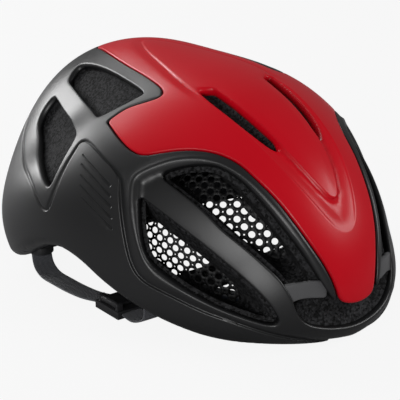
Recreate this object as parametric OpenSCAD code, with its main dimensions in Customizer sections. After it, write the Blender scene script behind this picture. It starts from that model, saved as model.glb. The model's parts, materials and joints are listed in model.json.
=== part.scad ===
/* [Shell] */
// Half of the shell's width at its middle
shell_half_w = 107.5; // [96:0.5:116]
// Length of the shell ahead of its centre
shell_front = 142.5; // [128:0.5:152]
// Length of the shell behind its centre
shell_rear = 140; // [126:0.5:150]
// Height of the crown above the centre
crown_h = 98; // [88:0.5:106]
// Height of the shell's centre above the floor
centre_z = 35.87; // [30:0.1:60]
// How far the helmet leans forward as it stands, in degrees
nose_down = 6.4; // [0:0.1:10]
// Thickness of the crown and lower shells
shell_wall = 1.4; // [0.8:0.1:2.4]
// Gap between the edges of the crown and lower shells, in degrees round the centre
shell_seam = 0.14; // [0.08:0.02:0.4]

/* [Foam liner] */
// Gap between the shells and the foam liner
liner_gap = 0.55; // [0.5:0.05:0.7]
// Half of the head cavity's width
head_half_w = 77; // [70:0.5:82]
// Length of the head cavity ahead of the centre
head_front = 105; // [98:0.5:112]
// Length of the head cavity behind the centre
head_rear = 103; // [96:0.5:110]
// Height of the head cavity above the centre
head_top = 69; // [62:0.5:74]
// How far the liner reaches past the shells at the rim, in degrees
liner_lip = 0.7; // [0.5:0.1:1]

/* [Pads and nets] */
// Thickness of the comfort pads
pad_t = 5; // [3:0.5:7]
// Thickness of the bug nets
net_t = 0.8; // [0.6:0.1:1.2]
// Gap between the pads or nets and what they lie on
pad_gap = 0.65; // [0.6:0.05:0.8]

/* [Fit system] */
// How far ahead of the centre the temple pivots are
pivot_y = -24; // [-30:1:-20]
// Height of the temple pivots above the floor
pivot_z = 44; // [42:1:48]
// Radius of the temple pins
pin_r = 2.5; // [2:0.1:3]
// Running clearance of the temple pins
pin_gap = 0.06; // [0.03:0.01:0.1]
// Height of the band arms and the headband
band_h = 13; // [11:0.5:15]
// Thickness of the band arms and the headband
band_t = 1.6; // [1.2:0.1:2]
// How far each arm slides as the dial tightens
arm_travel = 8; // [5:0.5:9]
// Radius of the dial knob
knob_r = 10.5; // [9:0.5:12]
// Height of the dial's axis above the floor
dial_z = 14; // [13.5:0.5:15]
// Radius of the cradle's legs round the temple pivots
leg_r = 112; // [108:0.5:114]

/* [Chin strap] */
// Width of the webbing
web_w = 14; // [12:1:16]
// Thickness of the webbing
web_t = 1.5; // [1.2:0.1:1.8]
// Height of the middle of the webbing where it lies flat
web_z = 1.75; // [1.6:0.05:2]

/* [Hidden] */
shell_black = "#242424";
foam_grey = "#2e2e2e";
fabric_grey = "#3a3d44";
hard_black = "#161616";

// How fast the shell widens to the rear, and how the crown falls to the rear
egg = 0.18;
crown_fall = -0.024;
// Depth of the shell below its centre, at the front and at the rear
front_depth = 60;
rear_depth = 88;
// Roundness of the outline seen from above, and of the front and rear profiles
plan_power = 2.06;
front_power = 2.0;
rear_power = 2.15;
// The rear crown swells, and the flanks behind the ears are drawn in
swell = 0.105;
draw_in = -0.13;
// Rings and sectors of the dome grid
rings = 14;
sectors = 48;
// Radii between which a cutting wedge runs
inside_r = 30;
outside_r = 190;

// Every place on the dome is [u, v]: degrees from the pole to the wearer's left and to the rear
function chart(p) = let (rho = norm(p)) rho < 0.001 ? [0, 0, 1]
    : [sin(rho) * p.x / rho, sin(rho) * p.y / rho, cos(rho)];
function chart_of(d) = let (h = norm([d.x, d.y])) h < 0.00001 ? [0, 0]
    : acos(d.z) / h * [d.x, d.y];
function ease(x, width) = 1 / (1 + exp(-2 * x / width));
function mix(a, b, t) = a * (1 - t) + b * t;
function hill(p, at, wide, long) = exp(-pow((abs(p.x) - at.x) / wide, 2) - pow((p.y - at.y) / long, 2));
function egg_r(d, half_w, front, rear, top, depth, fp, rp) = let (
    t = ease(d.y, 0.5), length = mix(front, rear, t), power = mix(fp, rp, t),
    across = pow(pow(abs(d.x / half_w), plan_power) + pow(abs(d.y / length), plan_power),
        1 / plan_power),
    up = mix(depth, top, ease(d.z, 0.3)))
    pow(pow(across, power) + pow(abs(d.z / up), power), -1 / power);
// Radius of the shell's outside, and of the head cavity, along a direction from the centre
function shell_r(d) = egg_r(d, shell_half_w * (1 + egg * d.y), shell_front, shell_rear,
    crown_h * (1 + crown_fall * d.y), mix(front_depth, rear_depth, ease(d.y, 0.5)),
    front_power, rear_power)
    * (1 + swell * hill(chart_of(d), [0, 55], 35, 25) + draw_in * hill(chart_of(d), [45, 40], 20, 25));
function head_r(d) = egg_r(d, head_half_w * (1 + 0.1 * d.y), head_front, head_rear, head_top,
    3 * head_top, 2.2, 2.2);
function liner_r(d) = shell_r(d) - shell_wall - liner_gap;

// Angle from the pole to the rim, by the angle round from the front: high over the ears and
// in the arch over the dial, low at the brow's corners and beside the nape
rim_rows = [[0, 98], [18, 99], [32, 102.1], [43, 101.6], [56, 98.8], [71, 93.5], [83, 87.5], [95, 88],
    [104, 94], [116, 102], [128, 108], [142, 112], [152, 109.5], [161, 101], [169, 95.5], [180, 94.5]];
function fold(a) = a > 180 ? 360 - a : abs(a);
function rim(a) = let (spread = [-6, -3, 0, 3, 6])
    [for (s = spread) lookup(fold(a + s), rim_rows)] * [for (s = spread) 1 / len(spread)];

// Outlines on the wearer's left, in chart degrees
crown_half = [[6.5, -86], [10.5, -78], [15, -66], [18.5, -55], [22, -45.5], [25.5, -38.5],
    [31, -31], [39, -25], [46, -18], [45, -6], [43.5, 4.5], [36, 3.5], [25, -2], [21, 11], [18, 25],
    [14.5, 37], [9, 51]];
crown_outline = concat([for (p = crown_half) p],
    [for (i = [len(crown_half) - 1 : -1 : 0]) [-crown_half[i].x, crown_half[i].y]]);
upper_vent = [[45, -29.5], [39, -43], [33.5, -58], [27, -71], [24, -79], [15, -81], [13.5, -83],
    [18, -73], [22, -60], [25.5, -49], [29, -41], [36, -33.5]];
lower_vent = [[56, -27.5], [52, -39], [48, -50], [42.5, -62], [36.5, -73.5], [28.5, -86], [40, -80],
    [54, -68.5], [63, -57.5], [66.5, -48], [64, -38]];
rear_upper_vent = [[28, 3.5], [41.5, 12], [36, 30], [27, 49], [20.5, 47.5], [20, 36], [23, 20]];
rear_lower_vent = [[51, 19], [70, 14], [65, 28], [56, 44], [45, 54.5], [33, 56], [40, 42]];
nose_mouth = [[0, -89.5], [11, -88.5], [21, -84.5], [25, -86.5], [20, -91.5], [10, -93.5],
    [0, -94], [-10, -93.5], [-20, -91.5], [-25, -86.5], [-21, -84.5], [-11, -88.5]];
bridge = [[13, -79.5], [25.5, -75.5], [24.5, -80], [21, -84], [12, -83.5]];
net_outline = [[47, -26], [37, -29], [27, -40], [18, -62], [14, -77], [26, -82], [42, -76],
    [58, -62], [68, -49], [67, -36], [57, -24]];
crown_pad_outline = [[-6, -52], [6, -52], [6, -18], [11, 2], [12, 24], [6, 46], [-6, 46],
    [-12, 24], [-11, 2], [-6, -18]];
side_pad_outline = [[50, -8], [68, -12], [76, 4], [72, 26], [56, 34], [46, 20]];

function mirrored(line) = [for (i = [len(line) - 1 : -1 : 0]) [-line[i].x, line[i].y]];
function middle(line) = [for (p = line) 1] * line / len(line);
// Corners turned into short arcs, and long edges divided, so that an outline follows the dome
function rounded(line, cut) = [for (i = [0 : len(line) - 1]) let (
    n = len(line), p = line[i], back = line[(i + n - 1) % n] - p, on = line[(i + 1) % n] - p,
    a = p + back * min(0.45, cut / norm(back)), b = p + on * min(0.45, cut / norm(on)),
    straight = back * on / norm(back) / norm(on) < -0.9)
    each straight ? [p] : [a, (a + b) / 4 + p / 2, b]];
function divided(line, step) = [for (i = [0 : len(line) - 1]) let (
    a = line[i], b = line[(i + 1) % len(line)], n = max(1, ceil(norm(b - a) / step)))
    each [for (j = [0 : n - 1]) mix(a, b, j / n)]];
function outline(line, cut) = divided(rounded(line, cut), 9);
function widened(line, by, about) = [for (p = line) about + (p - about) * by];

// Places the shell's own frame, whose origin is the dome's centre, on the floor
module in_shell() {
    translate([0, 0, centre_z]) rotate([nose_down, 0, 0]) children();
}
// A point of the shell's frame, in the standing frame
function stood(p) = [p.x, p.y * cos(nose_down) - p.z * sin(nose_down),
    p.y * sin(nose_down) + p.z * cos(nose_down) + centre_z];

// Triangles between two rows of n points that start at points i and j
function strip(i, j, n, flip) = [for (k = [0 : n - 1]) let (l = (k + 1) % n)
    each flip ? [[i + k, j + k, j + l], [i + k, j + l, i + l]]
        : [[i + k, j + l, j + k], [i + k, i + l, j + l]]];
// A closed solid between two radius functions, over rows of chart points round a middle point
module radial_solid(rows, mid, outer, inner) {
    n = len(rows[0]);
    m = len(rows);
    flat = [mid, each [for (row = rows) each row]];
    half = len(flat);
    points = [each [for (p = flat) let (d = chart(p)) outer(d) * d],
        each [for (p = flat) let (d = chart(p)) inner(d) * d]];
    faces = [each [for (k = [0 : n - 1]) [0, 1 + (k + 1) % n, 1 + k]],
        each [for (k = [0 : n - 1]) [half, half + 1 + k, half + 1 + (k + 1) % n]],
        each [for (r = [0 : m - 2]) each strip(1 + r * n, 1 + (r + 1) * n, n, false)],
        each [for (r = [0 : m - 2]) each strip(half + 1 + r * n, half + 1 + (r + 1) * n, n, true)],
        each strip(1 + (m - 1) * n, half + 1 + (m - 1) * n, n, false)];
    polyhedron(points, faces);
}
// The whole dome down to the rim, as a wall between two radius functions
module dome(outer, inner, lip) {
    radial_solid([for (i = [1 : rings]) [for (j = [0 : sectors - 1]) let (a = j * 360 / sectors)
        (rim(a) + lip) * i / rings * [sin(a), -cos(a)]]], [0, 0], outer, inner);
}
// A patch of the dome inside an outline that runs clockwise or anticlockwise
module patch(line, outer, inner, steps) {
    c = middle(line);
    n = len(line);
    area = [for (i = [0 : n - 1]) let (a = line[i], b = line[(i + 1) % n]) a.x * b.y - a.y * b.x]
        * [for (i = [0 : n - 1]) 1];
    way = area > 0 ? line : [for (i = [n - 1 : -1 : 0]) line[i]];
    radial_solid([for (s = [1 : steps]) widened(way, s / steps, c)], c, outer, inner);
}
// The space that an outline cuts, between two radii from the centre
module wedge(line, from = inside_r, to = outside_r) {
    patch(line, function(d) to, function(d) from, 4);
}
module both() {
    children();
    mirror([1, 0, 0]) children();
}

// The red crown shell: it runs from the nose to the rear in one piece, and has two slots
module crown_shell() color("#c0141c") in_shell() difference() {
    about = [0, -20];
    steps = 9;
    edge = widened(outline(crown_outline, 2.5), 1 - shell_seam / 45, about);
    radial_solid([for (s = [1 : steps]) widened(edge, s / steps, about)], about,
        function(d) shell_r(d), function(d) shell_r(d) - shell_wall);
    both() slot_cut(0);
}
// One slot, as a row of hulls from its rear end to its front end, seen along the crown
slot_rows = [[12.2, -15, 3.4], [12.4, -22, 3.9], [11.8, -30, 3.6], [10.4, -38, 2.8], [8.9, -45, 1.2]];
module slot_cut(grow) {
    for (i = [0 : len(slot_rows) - 2])
        hull() for (row = [slot_rows[i], slot_rows[i + 1]])
            for (r = [inside_r + 20, outside_r])
                translate(r * chart([row.x, row.y]))
                    sphere(r = r * sin(row.z + grow), $fn = 8);
}

// The black lower shell: it goes all round the helmet below the crown shell
module lower_shell() color(shell_black) in_shell() difference() {
    dome(function(d) shell_r(d), function(d) shell_r(d) - shell_wall, 0);
    wedge(outline(crown_outline, 2.5));
    wedge(outline(nose_mouth, 2));
    both() {
        wedge(outline(upper_vent, 2));
        wedge(outline(lower_vent, 2));
        wedge(outline(rear_upper_vent, 2.5));
        wedge(outline(rear_lower_vent, 2.5));
        side_slits();
    }
}
// Five engraved slits behind the lower front vent, each a row of hulls that follows the shell
slit_r = 0.7;
module side_slits() {
    for (i = [0 : 4]) for (k = [0 : 2]) hull() for (t = [k / 3, (k + 1) / 3]) {
        p = mix([57.5 + 2.7 * i, 3 - 2 * i], [59.5 + 2.5 * i, -15 - 2.7 * i], t);
        translate((shell_r(chart(p)) + 0.1) * chart(p)) sphere(r = slit_r, $fn = 6);
    }
}

// The foam liner: it fills the shells, and its vents lead to channels along the head
recess_r = 98;
module foam_liner() color(foam_grey) difference() {
    in_shell() difference() {
        dome(function(d) liner_r(d), function(d) head_r(d), liner_lip);
        wedge(outline(nose_mouth, 2), 118);
        both() {
            wedge(outline(widened(upper_vent, 0.96, middle(upper_vent)), 2));
            wedge(outline(widened(lower_vent, 0.96, middle(lower_vent)), 2));
            slot_cut(0);
            bridge_notch();
            wedge(outline(widened(rear_upper_vent, 0.98, middle(rear_upper_vent)), 2.5), recess_r);
            wedge(outline(widened(rear_lower_vent, 0.98, middle(rear_lower_vent)), 2.5), recess_r + 2);
            air_channel();
        }
    }
    both() anchor_pocket();
    both() arm_recess();
}
// A recess in the foam's nape, where the arm's inner end swings with the cradle
recess_y = 6;
recess_w = 15;
recess_h = 40;
module arm_recess() translate([arm_end - 4, rack_y - recess_y, dial_z - recess_h / 2])
    cube([recess_w, 2 * recess_y, recess_h]);
// A channel along the inside of the foam, from the upper front vent to the rear
channel_rows = [[26, -44], [30, -20], [32, 4], [27, 28], [20, 46]];
module air_channel() {
    for (i = [0 : len(channel_rows) - 2]) hull() for (row = [channel_rows[i], channel_rows[i + 1]])
        translate((head_r(chart(row)) + 1) * chart(row)) sphere(r = 8, $fn = 10);
}

// A moulded bar that bridges the lower end of each upper front vent, and its notch in the foam
bridge_sunk = 2;
bridge_t = 3;
bridge_gap = 0.3;
bridge_cut = 1.06;
module front_bridge(side) color("#3a3a3a") in_shell()
    patch(outline(side > 0 ? bridge : mirrored(bridge), 1.2), function(d) shell_r(d) - shell_wall - bridge_sunk,
        function(d) shell_r(d) - shell_wall - bridge_sunk - bridge_t, 3);
module bridge_notch() {
    patch(outline(widened(bridge, bridge_cut, middle(bridge)), 1.2), function(d) outside_r,
        function(d) shell_r(d) - shell_wall - bridge_sunk - bridge_t - bridge_gap, 3);
}

// The bug nets and the comfort pads lie on the inside of the foam
module bug_net(side) color("#1c1c1c") in_shell()
    patch(outline(side > 0 ? net_outline : mirrored(net_outline), 3),
        function(d) head_r(d) - pad_gap, function(d) head_r(d) - pad_gap - net_t, 4);
module pad(line, lift) color(fabric_grey) in_shell()
    patch(outline(line, 3), function(d) head_r(d) - lift, function(d) head_r(d) - lift - pad_t, 4);

// The point behind a shell-frame point, for places given in the standing frame
function unstood(p) = let (z = p.z - centre_z) [p.x, p.y * cos(nose_down) + z * sin(nose_down),
    z * cos(nose_down) - p.y * sin(nose_down)];
// How far from the upright axis the cavity's wall is, at an angle from the front and a height
function reach(a, z, r = 85, n = 9) = n == 0 ? r : let (q = unstood([r * sin(a), -r * cos(a), z]))
    reach(a, z, r - norm(q) + head_r(q / norm(q)), n - 1);
function at_wall(a, z, inset) = let (r = reach(a, z) - inset) [r * sin(a), -r * cos(a), z];

// A flat tape through points, each given as [place, direction across the tape]
module tape(route, w, t) {
    n = len(route);
    corners = [for (i = [0 : n - 1]) let (
        p = route[i][0], across = route[i][1] / norm(route[i][1]),
        on = route[min(i + 1, n - 1)][0] - route[max(i - 1, 0)][0],
        up = cross(on, across) / norm(cross(on, across)))
        each [for (c = [[1, 1], [-1, 1], [-1, -1], [1, -1]]) p + across * c.x * w / 2 + up * c.y * t / 2]];
    faces = [[0, 1, 2, 3], [for (k = [3 : -1 : 0]) (n - 1) * 4 + k],
        each [for (i = [0 : n - 2]) each strip(i * 4, (i + 1) * 4, 4, true)]];
    polyhedron(corners, faces);
}
// Points of a smooth curve through a route, four to a stretch
function smooth(route) = let (n = len(route)) [for (i = [0 : n - 2]) let (
    a = route[max(i - 1, 0)], b = route[i], c = route[i + 1], d = route[min(i + 2, n - 1)])
    each [for (t = [0 : 0.25 : (i == n - 2 ? 1 : 0.8)]) (2 * b + (c - a) * t
        + (2 * a - 5 * b + 4 * c - d) * t * t + (3 * b - a - 3 * c + d) * t * t * t) / 2]];

// The headband lies round the forehead, and the brow pad lies on its inside
band_inset = 2.2 + band_t / 2;
function brow_z(a) = 22 + 8 * pow(a / 60, 2);
module headband() color("#20242c")
    tape([for (a = [-60 : 4 : 60]) [at_wall(a, brow_z(a), band_inset), [0, 0, 1]]], band_h, band_t);
brow_pad_h = 16;
module brow_pad() color(fabric_grey)
    tape([for (a = [-44 : 4 : 44]) [at_wall(a, brow_z(a), band_inset + band_t / 2 + pad_gap + pad_t / 2),
        [0, 0, 1]]], brow_pad_h, pad_t);

// The temple pivots: a pin on each arm turns and slides in a cup in the foam
function angle_at(y, z, a = 57, n = 6) = n == 0 ? a
    : angle_at(y, z, acos(-y / (reach(a, z) - band_inset)), n - 1);
pivot_a = angle_at(pivot_y, pivot_z);
pivot_x = at_wall(pivot_a, pivot_z, band_inset).x;
boss_r = 5;
boss_out = 2.6;
pin_length = 15;
cup_r = 6;
cup_gap = 0.3;
cup_length = 17;
module along_x(x0, x1, r) {
    translate([x0, pivot_y, pivot_z]) rotate([0, 90, 0]) cylinder(r = r, h = x1 - x0, $fn = 48);
}
module temple_anchor() color(hard_black) difference() {
    along_x(pivot_x + boss_out + cup_gap, pivot_x + boss_out + cup_gap + cup_length, cup_r);
    along_x(pivot_x, pivot_x + pin_length + 0.5, pin_r + pin_gap);
}
module anchor_pocket() {
    along_x(pivot_x - 8, pivot_x + boss_out + cup_gap + cup_length + 0.3, cup_r + 0.3);
    for (a = [strap_front_a, strap_rear_a]) translate(rim_place(a) - [0, 0, 6])
        cylinder(r = anchor_r + 0.25, h = anchor_h + 6.25, $fn = 32);
}

// The rack and pinion that the dial works
tooth = 0.8;
teeth = 11;
pitch_r = tooth * teeth / 2;
pressure = 20;
addendum = 0.5;
dedendum = 0.75;
backlash = 0.16;
gear_t = 3.6;
rack_body = 2.4;
rack_reach = 7;
housing_half = 24;
housing_wall = 2;
cavity_half = pitch_r + dedendum + rack_body + 0.4;
housing_h = 2 * (cavity_half + housing_wall);
// The housing stands just clear of the cradle's legs, which bow outwards towards the pivots' height
yoke_t = 2.4;
leg_outer = leg_r + yoke_t / 2;
leg_drop = pivot_z - dial_z - housing_h / 2;
cover_play = 0.78;
housing_half_t = 5;
rack_y = pivot_y + sqrt(pow(leg_outer, 2) - pow(leg_drop, 2)) + cover_play + housing_half_t;
housing_front = rack_y - housing_half_t;
housing_back = rack_y + housing_half_t;
function involute(a) = tan(a) - a * PI / 180;
function tooth_half(r) = (PI * tooth / 2 - backlash) / (2 * pitch_r) * 180 / PI
    + (involute(pressure) - involute(acos(min(1, pitch_r * cos(pressure) / r)))) * 180 / PI;
module pinion_outline() {
    base_r = pitch_r * cos(pressure);
    radii = [pitch_r - dedendum, base_r, pitch_r, pitch_r + addendum / 2, pitch_r + addendum];
    polygon([for (i = [0 : teeth - 1]) let (mid = 90 + i * 360 / teeth) each [
        each [for (r = radii) let (a = mid - tooth_half(max(r, base_r))) r * [cos(a), sin(a)]],
        each [for (k = [4 : -1 : 0]) let (r = radii[k], a = mid + tooth_half(max(r, base_r)))
            r * [cos(a), sin(a)]]]]);
}
// A rack's outline above its pitch line, with its teeth down, and a gap or a tooth at zero
module rack_outline(from, to, shift) {
    pitch = PI * tooth;
    half = (pitch / 2 - backlash) / 2;
    tip = half - addendum * tan(pressure);
    root = half + dedendum * tan(pressure);
    first = ceil((from + root - shift) / pitch);
    last = floor((to - root - shift) / pitch);
    polygon([[from, dedendum + rack_body], [from, dedendum],
        each [for (i = [first : last]) let (x = shift + i * pitch)
            each [[x - root, dedendum], [x - tip, -addendum], [x + tip, -addendum],
                [x + root, dedendum]]],
        [to, dedendum], [to, dedendum + rack_body]]);
}
// Stands an outline in X and Z up at a place along Y
module slab(y, t) {
    translate([0, y + t / 2, 0]) rotate([90, 0, 0]) linear_extrude(t) children();
}
// The left arm's rack lies over the pinion and the right arm's lies under it
module rack(side) {
    slab(rack_y, gear_t) translate([0, dial_z]) mirror([0, side > 0 ? 0 : 1, 0]) translate([0, pitch_r])
        mirror([side > 0 ? 0 : 1, 0, 0]) rack_outline(-rack_reach, arm_end + 1.5, side > 0 ? PI * tooth / 2 : 0);
}
arm_end = housing_half + arm_travel + 1.5;
function arm_z(a) = mix(pivot_z, dial_z, pow(min(1, max(0, (a - pivot_a - 10) / 75)), 1.3));
function arm_inset(a) = band_inset + 4.2 * (a - pivot_a) / 75;
arm_route = concat([for (a = [pivot_a : 5 : 148]) at_wall(a, arm_z(a), arm_inset(a))],
    [[arm_end + 6, rack_y - 2.2, dial_z], [arm_end, rack_y, dial_z]]);
module band_arm(side) color("#20242c") {
    mirror([side > 0 ? 0 : 1, 0, 0]) {
        tape([for (p = arm_route) [p, [0, 0, 1]]], band_h, band_t);
        along_x(pivot_x - 1, pivot_x + boss_out, boss_r);
        along_x(pivot_x, pivot_x + pin_length, pin_r);
    }
    rack(side);
}

// The cradle: a plate behind the head with two legs, all on one radius round the temple pivots
plate_half = 30;
leg_half = 5;
leg_x = 17;
leg_top = 66;
plate_low = 9;
plate_high = 8;
module about_pivot(r0, r1, x0, x1, z0, z1) {
    a0 = asin((z0 - pivot_z) / r0);
    a1 = asin((z1 - pivot_z) / r0);
    translate([0, pivot_y, pivot_z]) rotate([a0, 0, 0]) rotate([90, 0, 90])
        translate([0, 0, x0]) rotate_extrude(angle = a1 - a0, $fn = 180)
            translate([r0, 0]) square([r1 - r0, x1 - x0]);
}
leg_inner = leg_r - yoke_t / 2;
module cradle_yoke() color(hard_black) difference() {
    about_pivot(leg_inner, leg_outer, -plate_half, plate_half, dial_z - plate_low, leg_top);
    translate([leg_half - leg_x, 0, dial_z + plate_high]) cube([2 * (leg_x - leg_half), leg_r, leg_top]);
    both() translate([leg_x + leg_half, 0, dial_z + plate_high]) cube([plate_half, leg_r, leg_top]);
}
clip_low = 50;
clip_high = 58;
clip_play = 0.35;
clip_wall = 2;
module height_clip() color(hard_black) difference() {
    back = -reach(162, clip_high) * cos(162) - 0.6;
    y0 = pivot_y + leg_inner - clip_play - clip_wall - 1;
    translate([leg_x - leg_half - clip_play - clip_wall, y0, clip_low])
        cube([2 * (leg_half + clip_play + clip_wall), back - y0, clip_high - clip_low]);
    about_pivot(leg_inner - clip_play, leg_outer + clip_play, leg_x - leg_half - clip_play,
        leg_x + leg_half + clip_play, clip_low - 8, clip_high + 8);
}
module nape_pad() color(fabric_grey)
    about_pivot(leg_inner - pad_gap - pad_t, leg_inner - pad_gap, 4, plate_half + 1, dial_z - 8, dial_z + 9);

// The dial's housing, its cover, the knob and the pinion on its shaft
shaft_r = 2.2;
shaft_gap = 0.06;
knob_t = 9;
knob_gap = 0.4;
cover_t = 1.8;
module dial_housing() color(hard_black) difference() {
    translate([-housing_half, housing_front + cover_t, dial_z - housing_h / 2])
        cube([2 * housing_half, housing_back - housing_front - cover_t, housing_h]);
    translate([-housing_half - 1, rack_y - gear_t / 2 - 1.6, dial_z - cavity_half])
        cube([2 * housing_half + 2, gear_t + 2, 2 * cavity_half]);
    translate([0, rack_y, dial_z]) rotate([-90, 0, 0]) cylinder(r = shaft_r + shaft_gap, h = 20, $fn = 48);
}
module dial_cover() color(hard_black)
    translate([-housing_half, housing_front, dial_z - housing_h / 2])
        cube([2 * housing_half, cover_t, housing_h]);
module dial_pinion() color("#d8d8d0") {
    slab(rack_y, gear_t) translate([0, dial_z]) pinion_outline();
    translate([0, rack_y, dial_z]) rotate([-90, 0, 0])
        cylinder(r = shaft_r, h = housing_back - rack_y + knob_gap + knob_t - 2, $fn = 48);
}
grips = 24;
module dial_knob() color("#1c1c1c") translate([0, housing_back + knob_gap, dial_z]) rotate([-90, 0, 0])
    difference() {
        cylinder(r = knob_r, h = knob_t, $fn = 96);
        translate([0, 0, -1]) cylinder(r = shaft_r + 0.02, h = knob_t - 1, $fn = 48);
        for (i = [0 : grips - 1]) rotate([0, 0, i * 360 / grips]) translate([knob_r + 0.5, 0, 1.5])
            cylinder(r = 0.9, h = knob_t, $fn = 16);
    }

// Anchors sunk in the rim of the foam, and the straps that hang from them
anchor_r = web_w / 2 + 0.6;
anchor_h = 5;
strap_front_a = 55;
strap_rear_a = 124;
function rim_place(a) = let (d = chart((rim(a) + liner_lip) * [sin(a), -cos(a)]))
    stood(d * (liner_r(d) + head_r(d)) / 2) + [0, 0, 1.2];
module strap_anchor(a) color(hard_black) translate(rim_place(a)) cylinder(r = anchor_r, h = anchor_h, $fn = 32);

divider_at = [77, -20];
divider_size = [20, web_w + 10, 4.6];
// Where the front and rear straps end inside the divider, clear of the chin strap
strap_end = web_w / 2 + 0.4;
divider_low = 0.4;
slot_play = 0.3;
slot_deep = 6;
join_z = divider_low + divider_size.z / 2;
front_top = rim_place(strap_front_a);
rear_top = rim_place(strap_rear_a);
front_route = smooth([front_top - [0, 0, 0.3], front_top - [0, 1, 8], [76, front_top.y - 1, 6],
    [76.5, -42, web_z], [77, -36, web_z + 0.2], [77, -31.5, join_z], [77, divider_at.y - strap_end, join_z]]);
rear_route = smooth([rear_top - [0, 0, 0.3], rear_top - [0, 1, 6], [84, 54, 4.5], [84, 47, web_z],
    [84, 34, web_z], [83.5, 20, web_z], [81.5, 6, web_z], [78.5, -3, web_z + 0.4], [77, -9, join_z],
    [77, divider_at.y + strap_end, join_z]]);
module front_strap() color("#26282e") tape([for (p = front_route) [p, [1, 0, 0]]], web_w, web_t);
module rear_strap() color("#26282e") tape([for (p = rear_route) [p, [1, 0, 0]]], web_w, web_t);
module strap_pocket() {
    cube([web_w + 2 * slot_play, 2 * slot_deep, web_t + 2 * slot_play], center = true);
}
// The divider joins the front and rear straps to the chin strap, and its lever locks them
lever_pin_r = 1;
lever_play = 0.08;
lever_z = divider_low + divider_size.z + 2.3;
lever_x = divider_at.x + 7;
ear_y = 8;
module across_y(y0, y1, r) {
    translate([lever_x, divider_at.y + y0, lever_z]) rotate([-90, 0, 0]) cylinder(r = r, h = y1 - y0, $fn = 32);
}
module divider() color(hard_black) {
    difference() {
        translate([divider_at.x, divider_at.y, join_z]) cube(divider_size, center = true);
        for (end = [-1, 1]) translate([divider_at.x, divider_at.y + end * divider_size.y / 2, join_z])
            strap_pocket();
        translate([divider_at.x - divider_size.x / 2, divider_at.y, join_z]) rotate([0, 0, 90])
            strap_pocket();
    }
    for (y = [-ear_y - 2, ear_y]) translate([lever_x - 2, divider_at.y + y, join_z + divider_size.z / 2])
        cube([4, 2, lever_z - join_z - divider_size.z / 2 + 2]);
    across_y(-ear_y - 1, ear_y + 1, lever_pin_r);
}
module divider_lever() color("#2c2c2c") difference() {
    union() {
        across_y(-ear_y + 0.3, ear_y - 0.3, lever_pin_r + 1);
        translate([lever_x - 14, divider_at.y - ear_y + 0.3, lever_z - 0.7])
            cube([14, 2 * ear_y - 0.6, 1.6]);
    }
    across_y(-ear_y, ear_y, lever_pin_r + lever_play);
}

// The chin strap and its magnetic buckle, which lets go as the slider slides across
buckle_y = divider_at.y;
buckle_w = 20;
buckle_out = 26;
lap = 8;
base_t = 4;
rail_w = 6;
rail_play = 0.15;
magnet_r = 2.4;
magnet_t = 1.2;
chin_far = divider_at.x - divider_size.x / 2 + slot_deep - 0.8;
module chin_strap(near) color("#26282e")
    tape([for (x = [near, 34, 42, 50, 58, chin_far]) [[x, buckle_y, join_z], [0, 1, 0]]], web_w, web_t);
module rail(grow, top, length) {
    translate([-rail_w / 4 - grow, buckle_y - length / 2, divider_low + 1.6])
        cube([rail_w / 2 + 2 * grow, length, top - divider_low - 1.6]);
    translate([-rail_w / 2 - grow, buckle_y - length / 2, divider_low + 1.4 - grow])
        cube([rail_w + 2 * grow, length, 1.2 + 2 * grow]);
}
module buckle_base() color(hard_black) difference() {
    translate([-buckle_out, buckle_y - buckle_w / 2, divider_low]) union() {
        cube([buckle_out + lap, buckle_w, base_t]);
        cube([buckle_out - lap - 0.3, buckle_w, base_t + 2.4]);
    }
    rail(rail_play, divider_low + base_t + 1, buckle_w + 2);
    translate([-buckle_out, buckle_y, join_z]) rotate([0, 0, 90]) strap_pocket();
    translate([-13, buckle_y, divider_low + base_t + 2.4 - magnet_t]) cylinder(r = magnet_r + 0.05, h = 9, $fn = 48);
}
slider_low = divider_low + base_t + 0.2;
module buckle_slider() color("#2c2c2c") difference() {
    union() {
        translate([-lap, buckle_y - buckle_w / 2, slider_low]) cube([buckle_out + lap, buckle_w, 3.2]);
        translate([lap + 0.3, buckle_y - buckle_w / 2, divider_low])
            cube([buckle_out - lap - 0.3, buckle_w, base_t + 1]);
        rail(0, slider_low + 1, 13);
    }
    translate([13, buckle_y, slider_low + 3.2 - magnet_t]) cylinder(r = magnet_r + 0.05, h = 9, $fn = 48);
}
module base_magnet() color("silver")
    translate([-13, buckle_y, divider_low + base_t + 2.4 - magnet_t]) cylinder(r = magnet_r, h = magnet_t, $fn = 48);
module slider_magnet() color("silver")
    translate([13, buckle_y, slider_low + 3.2 - magnet_t]) cylinder(r = magnet_r, h = magnet_t, $fn = 48);
keeper_x = -48;
keeper_wall = 0.9;
module sleeve(x, length, wall, play) {
    difference() {
        translate([x, buckle_y, join_z])
            cube([length, web_w + 2 * (play + wall), web_t + 2 * (play + wall)], center = true);
        translate([x, buckle_y, join_z]) cube([length + 1, web_w + 2 * play, web_t + 2 * play], center = true);
    }
}
module strap_keeper() color("#101010") sleeve(keeper_x, 5, keeper_wall, 0.3);
module chin_pad() color(fabric_grey) sleeve(46, 26, 1.3, 0.2);

// The wearer's right side mirrors the left
module right_side() {
    mirror([1, 0, 0]) children();
}

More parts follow.
